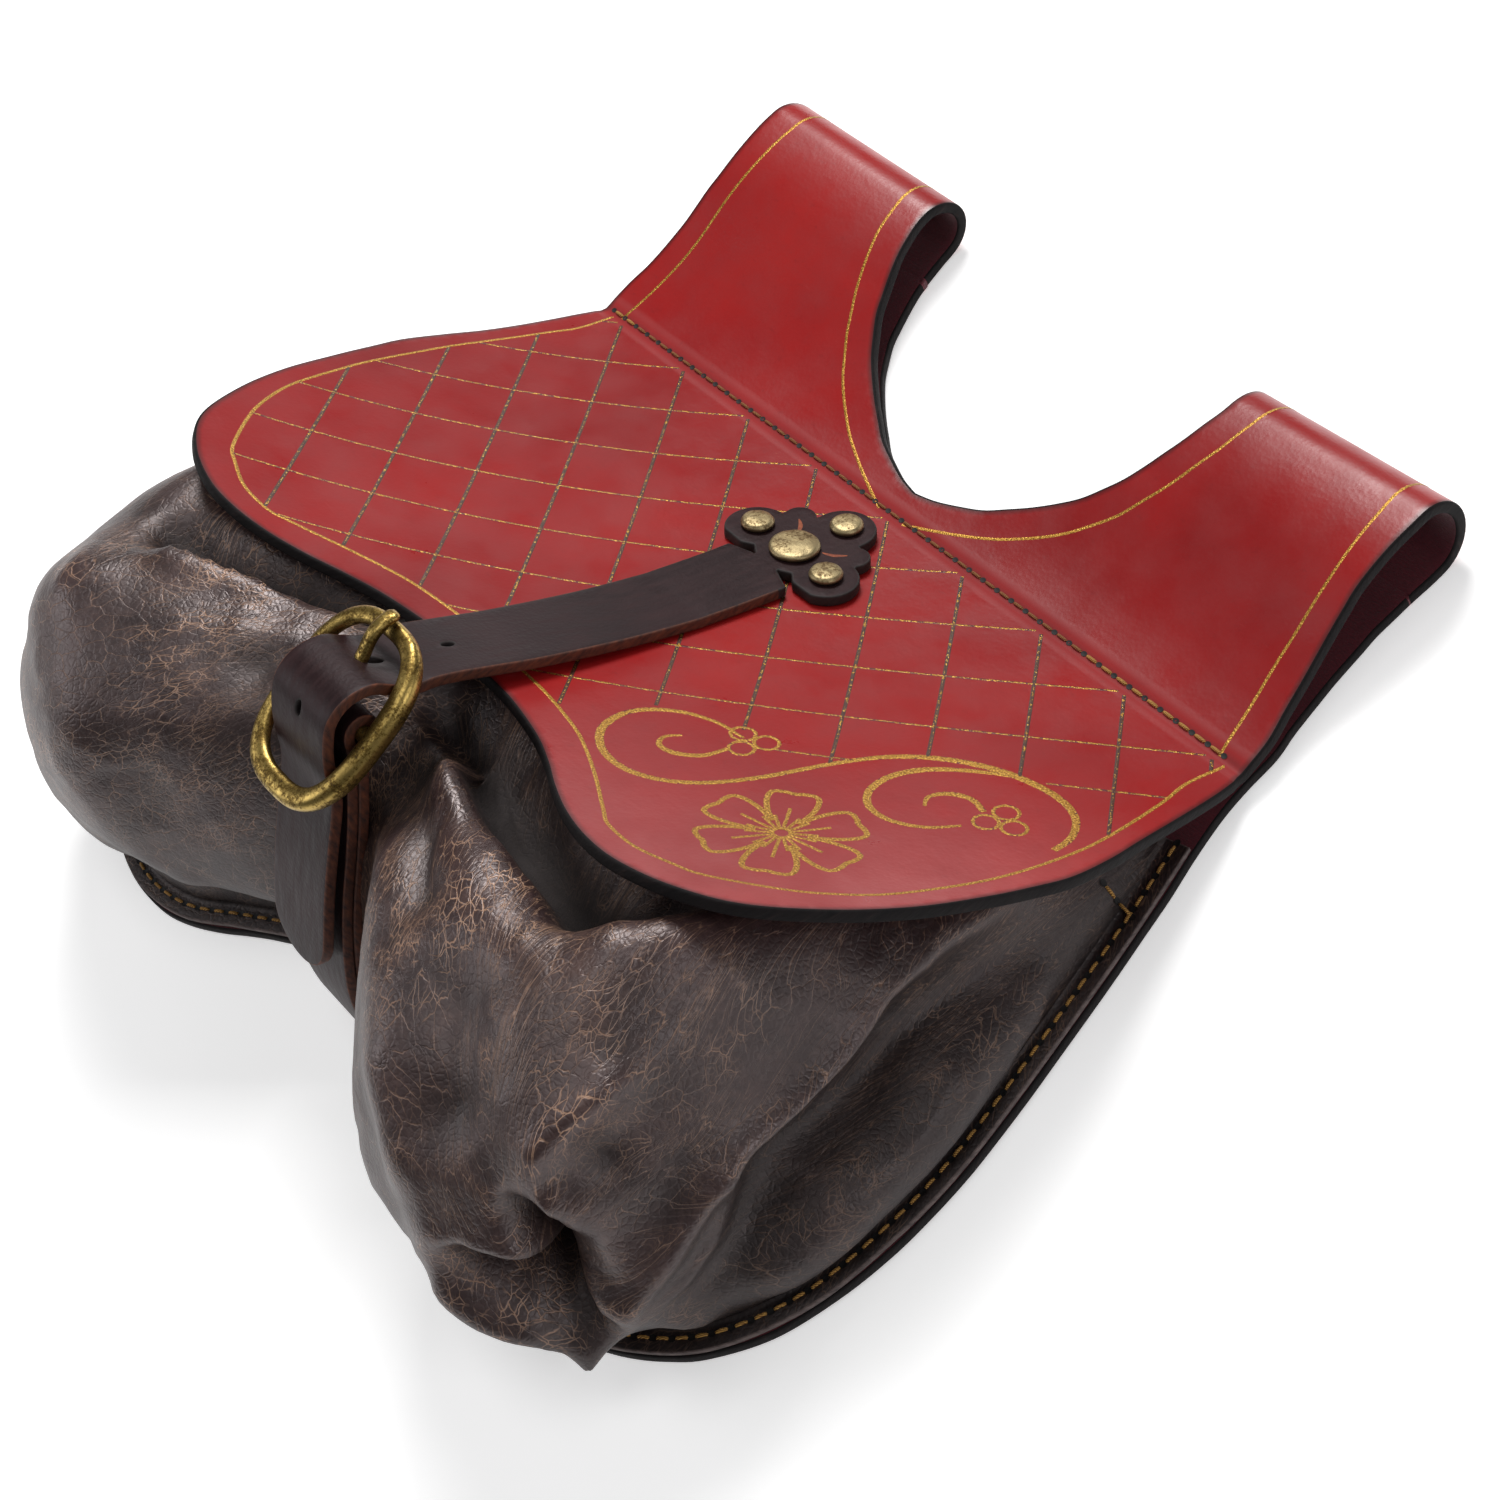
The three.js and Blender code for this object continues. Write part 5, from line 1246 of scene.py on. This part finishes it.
# keep the head's upper part (v below 38) and join it to the strap's sides
upper = head[head[:, 1] < 38.3]
ang = np.arctan2(upper[:, 1] - 27, upper[:, 0])
order = np.argsort(-((ang - math.pi / 2) % (2 * math.pi)))
upper = upper[order]
left_side = [(-12.0, v) for v in (40.5, 50, 60, 68)]
s_from_v = np.vectorize(V_OF_S)
head_s = np.stack([upper[:, 0], s_from_v(np.clip(upper[:, 1], 4, 68))], 1)
tip = []
for w in np.linspace(0, math.pi, 21):
    tip.append((12.0 * math.cos(w), total - 12.0 + 12.0 * math.sin(w) ** 0.9 if math.sin(w) > 0 else total - 12.0))
side_s = np.linspace(V_OF_S(41.0), total - 13.5, 90)
if head_s[0, 0] < 0:
    head_s = head_s[::-1]
# anticlockwise from the right side, up round the head and down the left side in (x, -s)
outline = [(12.0, s) for s in side_s[::-1]] + [tuple(p) for p in head_s] + [(-12.0, s) for s in side_s] + [tuple(p) for p in np.array(tip)[::-1][1:-1]]
outline = np.array([(x, -s) for x, s in outline])
keepm = np.r_[True, np.linalg.norm(np.diff(outline, axis=0), axis=1) > 0.05]
outline = outline[keepm]
outline = resample(outline, 0.9, True)
sgn = np.sum(outline[:, 0] * np.roll(outline[:, 1], -1) - np.roll(outline[:, 0], -1) * outline[:, 1])
if sgn < 0:
    outline = outline[::-1]
S_HOLE = [float(np.interp(-y, -strap_path[:, 0], strap_s)) for y in (-108.0, -124.2, -143.6)]


def ellipse(cx, cy, rx, ry, n=20):
    w = np.linspace(0, 2 * math.pi, n, endpoint=False)
    return np.stack([cx + rx * np.cos(w), cy - ry * np.sin(w)], 1)


strap_holes = [ellipse(0, -S_HOLE[0], 1.35, 2.2), ellipse(0, -S_HOLE[1], 2.0, 4.2), ellipse(0, -S_HOLE[2], 1.5, 2.5)]
V2, T2 = triangulate([inset(outline, 0.45)] + strap_holes, 1.6)


def strap_surface(x, s):
    P = strap_at(s, x)
    N = strap_normal(s)
    return P, N


PS, NSn = strap_surface(V2[:, 0], -V2[:, 1])
a, b, c = PS[T2[:, 0]], PS[T2[:, 1]], PS[T2[:, 2]]
if ((np.cross(b - a, c - a) * NSn[T2[:, 0]]).sum(1)).mean() < 0:
    T2 = T2[:, ::-1]
strap = leather_sheet("closure_strap_leather", PS, NSn, T2, V2 * 0.001, T_STRAP - 0.1, [STRAP, STRAP_FLESH, STRAP_EDGE, HEAD_EDGE], 0.45,
                      rim_mat=lambda p: 3 if p[1] > -38 or (abs(p[0]) < 8 and p[1] > -150) else 2)
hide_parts("closure_strap")


# two short cuts in the head, from the middle rivet to the scallops
V, F = [], []
for sx in (-1, 1):
    d = np.array([sx * 11.1, -9.9]) / math.hypot(11.1, 9.9)
    side = np.array([-d[1], d[0]])
    k = len(V)
    for t in np.linspace(0, 1, 13):
        c = np.array([0, 29.5]) + d * (7.0 + 6.4 * t) + side * 0.6 * math.sin(t * math.pi)
        for q in (-1, 0, 1):
            u, v = c + side * q * 0.55 * math.sin(0.3 + t * 2.5)
            V.append(flap_raw(u, v, 0.25 + T_STRAP) + pattern_normal(np.array([u]), np.array([-v]))[0] * (0.12 if q == 0 else 0.02))
    F += [(k + 3 * i + c, k + 3 * i + c + 1, k + 3 * i + c + 4, k + 3 * i + c + 3) for i in range(12) for c in range(2)]
V = np.array(V)
cuts = make_object("strap_head_cuts", V, F, [CUT], None, {"UVMap": V[:, :2] * 0.001})
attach(cuts, "flap")


# ------------------------------------------------------------------ buckle strap
CHAPE_RUN = [(-139.6, 85.0), (-144.4, 78.2), (-149.2, 70.4), (-155.4, 61.2), (-164.2, 49), (-171.8, 36.6), (-177.4, 24.5), (-179.9, 12), (-180, 0.6)]
BAR = np.array([-137.0, 88.0])


def layer_path(offset):
    """One layer of the doubled strap: its middle line, offset from the middle of the pair; positive is outwards."""
    mid_line = catmull(np.array(CHAPE_RUN), np.linspace(0, 1, 400))
    d = np.gradient(mid_line, axis=0)
    nrm = np.stack([d[:, 1], -d[:, 0]], 1) / np.linalg.norm(d, axis=1, keepdims=True)
    return mid_line + nrm * offset


out_l, in_l = layer_path(1.5), layer_path(-1.5)
top = []
a0 = math.atan2(out_l[0][1] - BAR[1], out_l[0][0] - BAR[0])
a1 = math.atan2(in_l[0][1] - BAR[1], in_l[0][0] - BAR[0])
EYE_R = 3.9
# round the bar: from the outer layer over the top of the bar to the inner layer
aa = np.linspace(a0 % (2 * math.pi), a0 % (2 * math.pi) - (2 * math.pi - ((a1 - a0) % (2 * math.pi) if (a1 - a0) % (2 * math.pi) < math.pi else (a0 - a1) % (2 * math.pi))), 40)
loop = np.stack([BAR[0] + EYE_R * np.cos(aa), BAR[1] + EYE_R * np.sin(aa)], 1)
chape_mid = np.vstack([out_l[::-1][:-12], loop, in_l[12:]])
for _ in range(30):
    chape_mid[1:-1] = chape_mid[1:-1] * 0.5 + (chape_mid[:-2] + chape_mid[2:]) * 0.25
chape_mid = resample(chape_mid, 0.9)
ds = np.arange(len(chape_mid)) * 0.9
dd = np.gradient(chape_mid, axis=0)
cn = np.stack([-dd[:, 1], dd[:, 0]], 1) / np.linalg.norm(dd, axis=1, keepdims=True)
test = cn[10] @ np.array([-1.0, 0.6])
if test < 0:
    cn = -cn
lenc = ds[-1]
rect = resample(np.array([(12, 0), (12, lenc), (-12, lenc), (-12, 0)]), 1.0, True)
eye_s = float(ds[np.argmin(np.linalg.norm(chape_mid - (BAR + np.array([2.6, 2.8])), axis=1))])
slot = np.array([(2.5, eye_s - 9.5), (2.5, eye_s + 6), (1.4, eye_s + 8), (-1.4, eye_s + 8), (-2.5, eye_s + 6), (-2.5, eye_s - 9.5), (-1.4, eye_s - 11.5), (1.4, eye_s - 11.5)])
slot = resample(slot, 1.0, True)
V2, T2 = triangulate([inset(rect, 0.4), slot], 1.6)


def chape_surface(x, s):
    y, z = np.interp(s, ds, chape_mid[:, 0]), np.interp(s, ds, chape_mid[:, 1])
    ny, nz = np.interp(s, ds, cn[:, 0]), np.interp(s, ds, cn[:, 1])
    N = np.stack([0 * y, ny, nz], -1)
    N /= np.linalg.norm(N, axis=1, keepdims=True)
    P = np.stack([x, y, z], -1) + N * 1.35
    return P, N


PC, NC = chape_surface(V2[:, 0], V2[:, 1])
a, b, c = PC[T2[:, 0]], PC[T2[:, 1]], PC[T2[:, 2]]
if ((np.cross(b - a, c - a) * NC[T2[:, 0]]).sum(1)).mean() < 0:
    T2 = T2[:, ::-1]
chape = leather_sheet("buckle_strap_leather", PC, NC, T2, V2 * 0.001, 2.7, [STRAP, STRAP_FLESH, STRAP_EDGE], 0.4)
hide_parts("buckle_strap")
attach(chape, "bag")


# ------------------------------------------------------------------ rivets, buckle and prong
def swept(name, centre, across, up, half_w, half_h, mat, body, closed=False, sides=22, power=2.0, wobble=0.0, seed=1, caps=True):
    """A bar of rounded section swept along centre; across and up are its section's own directions at each point."""
    n = len(centre)
    V = []
    for i in range(n):
        for q in range(sides):
            w = 2 * math.pi * q / sides
            c, sn = math.cos(w), math.sin(w)
            e = 2.0 / power
            r = 1.0 + wobble * noise.noise(Vector(centre[i]) * 0.35 + Vector((c * 1.3, sn * 1.3, seed * 7.0)))
            V.append(centre[i] + across[i] * half_w[i] * r * math.copysign(abs(c) ** e, c) + up[i] * half_h[i] * r * math.copysign(abs(sn) ** e, sn))
    F = []
    for i in range(n if closed else n - 1):
        j = (i + 1) % n
        for q in range(sides):
            q2 = (q + 1) % sides
            F.append((i * sides + q, i * sides + q2, j * sides + q2, j * sides + q))
    if not closed and caps:
        F.append(tuple(range(sides))[::-1])
        F.append(tuple((n - 1) * sides + q for q in range(sides)))
    V = np.array(V)
    ob = make_object(name, V, F, [mat], None, {"UVMap": V[:, :2] * 0.001})
    bm = bmesh.new(); bm.from_mesh(ob.data); bmesh.ops.recalc_face_normals(bm, faces=bm.faces); bm.to_mesh(ob.data); bm.free()
    if body:
        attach(ob, body)
    return ob


def lathe(name, profile, origin, axis, mat, body, sides=56, wobble=0.0, seed=0):
    """A turned piece: profile (radius, height) from the axis to the axis."""
    axis = np.array(axis, float) / np.linalg.norm(axis)
    u = np.cross(axis, [0.3, 1, 0.2]); u /= np.linalg.norm(u)
    v = np.cross(axis, u)
    V, F = [], []
    prof = [p for p in profile if p[0] > 1e-6]
    for r, h in prof:
        for q in range(sides):
            w = 2 * math.pi * q / sides
            d = wobble * noise.noise(Vector((r * math.cos(w) * 0.45, r * math.sin(w) * 0.45, seed * 5.3)))
            V.append(np.array(origin) + (u * math.cos(w) + v * math.sin(w)) * r + axis * (h + d))
    for i in range(len(prof) - 1):
        for q in range(sides):
            q2 = (q + 1) % sides
            F.append((i * sides + q, i * sides + q2, (i + 1) * sides + q2, (i + 1) * sides + q))
    k = len(V)
    V.append(np.array(origin) + axis * profile[0][1]); V.append(np.array(origin) + axis * (profile[-1][1] + wobble * noise.noise(Vector((0, 0, seed * 5.3)))))
    for q in range(sides):
        q2 = (q + 1) % sides
        F.append((k, q2, q))
        F.append((k + 1, (len(prof) - 1) * sides + q, (len(prof) - 1) * sides + q2))
    V = np.array(V)
    ob = make_object(name, V, F, [mat], None, {"UVMap": V[:, :2] * 0.001})
    bm = bmesh.new(); bm.from_mesh(ob.data); bmesh.ops.recalc_face_normals(bm, faces=bm.faces); bm.to_mesh(ob.data); bm.free()
    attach(ob, body)
    return ob


for i, (nm, u, v, r) in enumerate(RIVETS):
    p = flap_raw(u, v, GAP + T_STRAP + 1.0)
    nn = pattern_normal(np.array([float(u)]), np.array([-float(v)]))[0]
    prof = [(0, -0.9), (r * 0.6, -0.9), (r - 0.5, -0.8), (r - 0.15, -0.5), (r, -0.1), (r - 0.02, 0.2), (r - 0.16, 0.5), (r - 0.4, 0.74), (r * 0.88, 0.94), (r * 0.8, 1.07),
            (r * 0.68, 1.2), (r * 0.54, 1.3), (r * 0.38, 1.38), (r * 0.2, 1.42), (r * 0.08, 1.44), (0, 1.44)]
    cap = lathe("rivet_head_" + nm, prof, p, nn, RIVET, "flap", wobble=0.16, seed=i + 1)
    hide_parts("rivet_cap_" + nm)
for nm in ("rivet_back_center", "rivet_back_left", "rivet_back_right", "rivet_back_top"):
    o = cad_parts[nm]
    o.data.materials.clear()
    o.data.materials.append(RIVET)

# buckle: a cast ring, round and heavy on its right rail, flattened round its ends, with a centre bar
RING_A, RING_B, TILT = 22.0, 16.6, math.radians(15)
ring_dir = np.array([0, -math.cos(TILT), -math.sin(TILT)])
ring_up = np.array([0, -math.sin(TILT), math.cos(TILT)])
NR = 220
w = 2 * np.pi * np.arange(NR) / NR
ex = 2 / 2.8
ca, sb = np.cos(w), np.sin(w)
along = RING_A * np.sign(ca) * np.abs(ca) ** ex
side = RING_B * np.sign(sb) * np.abs(sb) ** ex
side = np.where(side < 0, side * 1.1, side)
# even spacing round the ring
loop = np.stack([along, side], 1)
loop = resample(np.vstack([loop, loop[:1]]), 0.55)[:-1]
centre = np.array([0, BAR[0], BAR[1]]) + loop[:, :1] * ring_dir + np.stack([loop[:, 1], 0 * loop[:, 1], 0 * loop[:, 1]], 1)
tan = np.roll(centre, -1, 0) - np.roll(centre, 1, 0)
tan /= np.linalg.norm(tan, axis=1, keepdims=True)
up_r = np.tile(ring_up, (len(loop), 1))
out_r = np.cross(tan, up_r)
fr = np.clip((loop[:, 1] / RING_B - 0.2) / 0.75, 0, 1) ** 1.4  # 1 on the right rail
low = np.clip((loop[:, 0] / RING_A - 0.35) / 0.6, 0, 1)  # 1 on the lower end
toe = np.clip((-loop[:, 0] / RING_A - 0.45) / 0.5, 0, 1)
hw = 2.0 + 0.95 * fr + 0.75 * low * (1 - fr) + 0.25 * toe * (1 - fr)
hh = 1.85 + 0.95 * fr - 0.2 * low * (1 - fr) - 0.3 * toe * (1 - fr)
ring = swept("buckle_ring", centre, out_r, up_r, hw, hh, BUCKLE, "buckle", closed=True, power=2.25, wobble=0.014, seed=3)
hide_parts("buckle_frame")
xb = np.linspace(-RING_B + 0.6, RING_B - 0.6, 40)
bar_c = np.stack([xb, np.full(40, BAR[0]), np.full(40, BAR[1])], 1)
swept("buckle_bar", bar_c, np.tile([0, 1.0, 0], (40, 1)), np.tile([0, 0, 1.0], (40, 1)), np.full(40, BAR_R), np.full(40, BAR_R), BUCKLE, "buckle", wobble=0.03)
run = [(-137.5, 89.6), (-137.2, 91.3), (-136.0, 92.5), (-134.0, 92.7), (-131, 92.6), (-127.6, 93.1), (-124.4, 94.7), (-121.4, 96.6), (-118.2, 97.7), (-115.4, 97.7), (-113.6, 97.2), (-112.9, 96.9)]
pr = smooth_line([(a, b) for a, b in run], 0.45)
pc = np.stack([0 * pr[:, 0], pr[:, 0], pr[:, 1]], 1)
pt = np.gradient(pc, axis=0)
pt /= np.linalg.norm(pt, axis=1, keepdims=True)
px = np.tile([1.0, 0, 0], (len(pc), 1))
pu = np.cross(px, pt)
f = np.linspace(0, 1, len(pc))
prong = swept("buckle_tongue", pc, px, pu, 1.75 + 0.25 * np.clip((f - 0.7) / 0.25, 0, 1) - 0.5 * np.clip((f - 0.965) / 0.035, 0, 1), 1.35 - 0.3 * np.clip((f - 0.75) / 0.2, 0, 1) - 0.4 * np.clip((f - 0.965) / 0.035, 0, 1), BUCKLE, "prong", power=2.8, wobble=0.015, seed=5)
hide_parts("buckle_prong")
cx = np.linspace(-2.0, 2.0, 9)
swept("tongue_eye", np.stack([cx, np.full(9, BAR[0]), np.full(9, BAR[1])], 1), np.tile([0, 1.0, 0], (9, 1)), np.tile([0, 0, 1.0], (9, 1)),
      4.3 - 0.5 * (np.abs(cx) / 2.0) ** 6, 4.3 - 0.5 * (np.abs(cx) / 2.0) ** 6, BUCKLE, "prong", sides=32, wobble=0.03)


# ------------------------------------------------------------------ bodies
def row(y, z):
    return (0.0, (y + OY) * 0.001, z * 0.001)


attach(back, "bag")
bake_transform(red_front)
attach(gilt_flap, "flap")
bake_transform(gilt_loops)
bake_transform(strap)
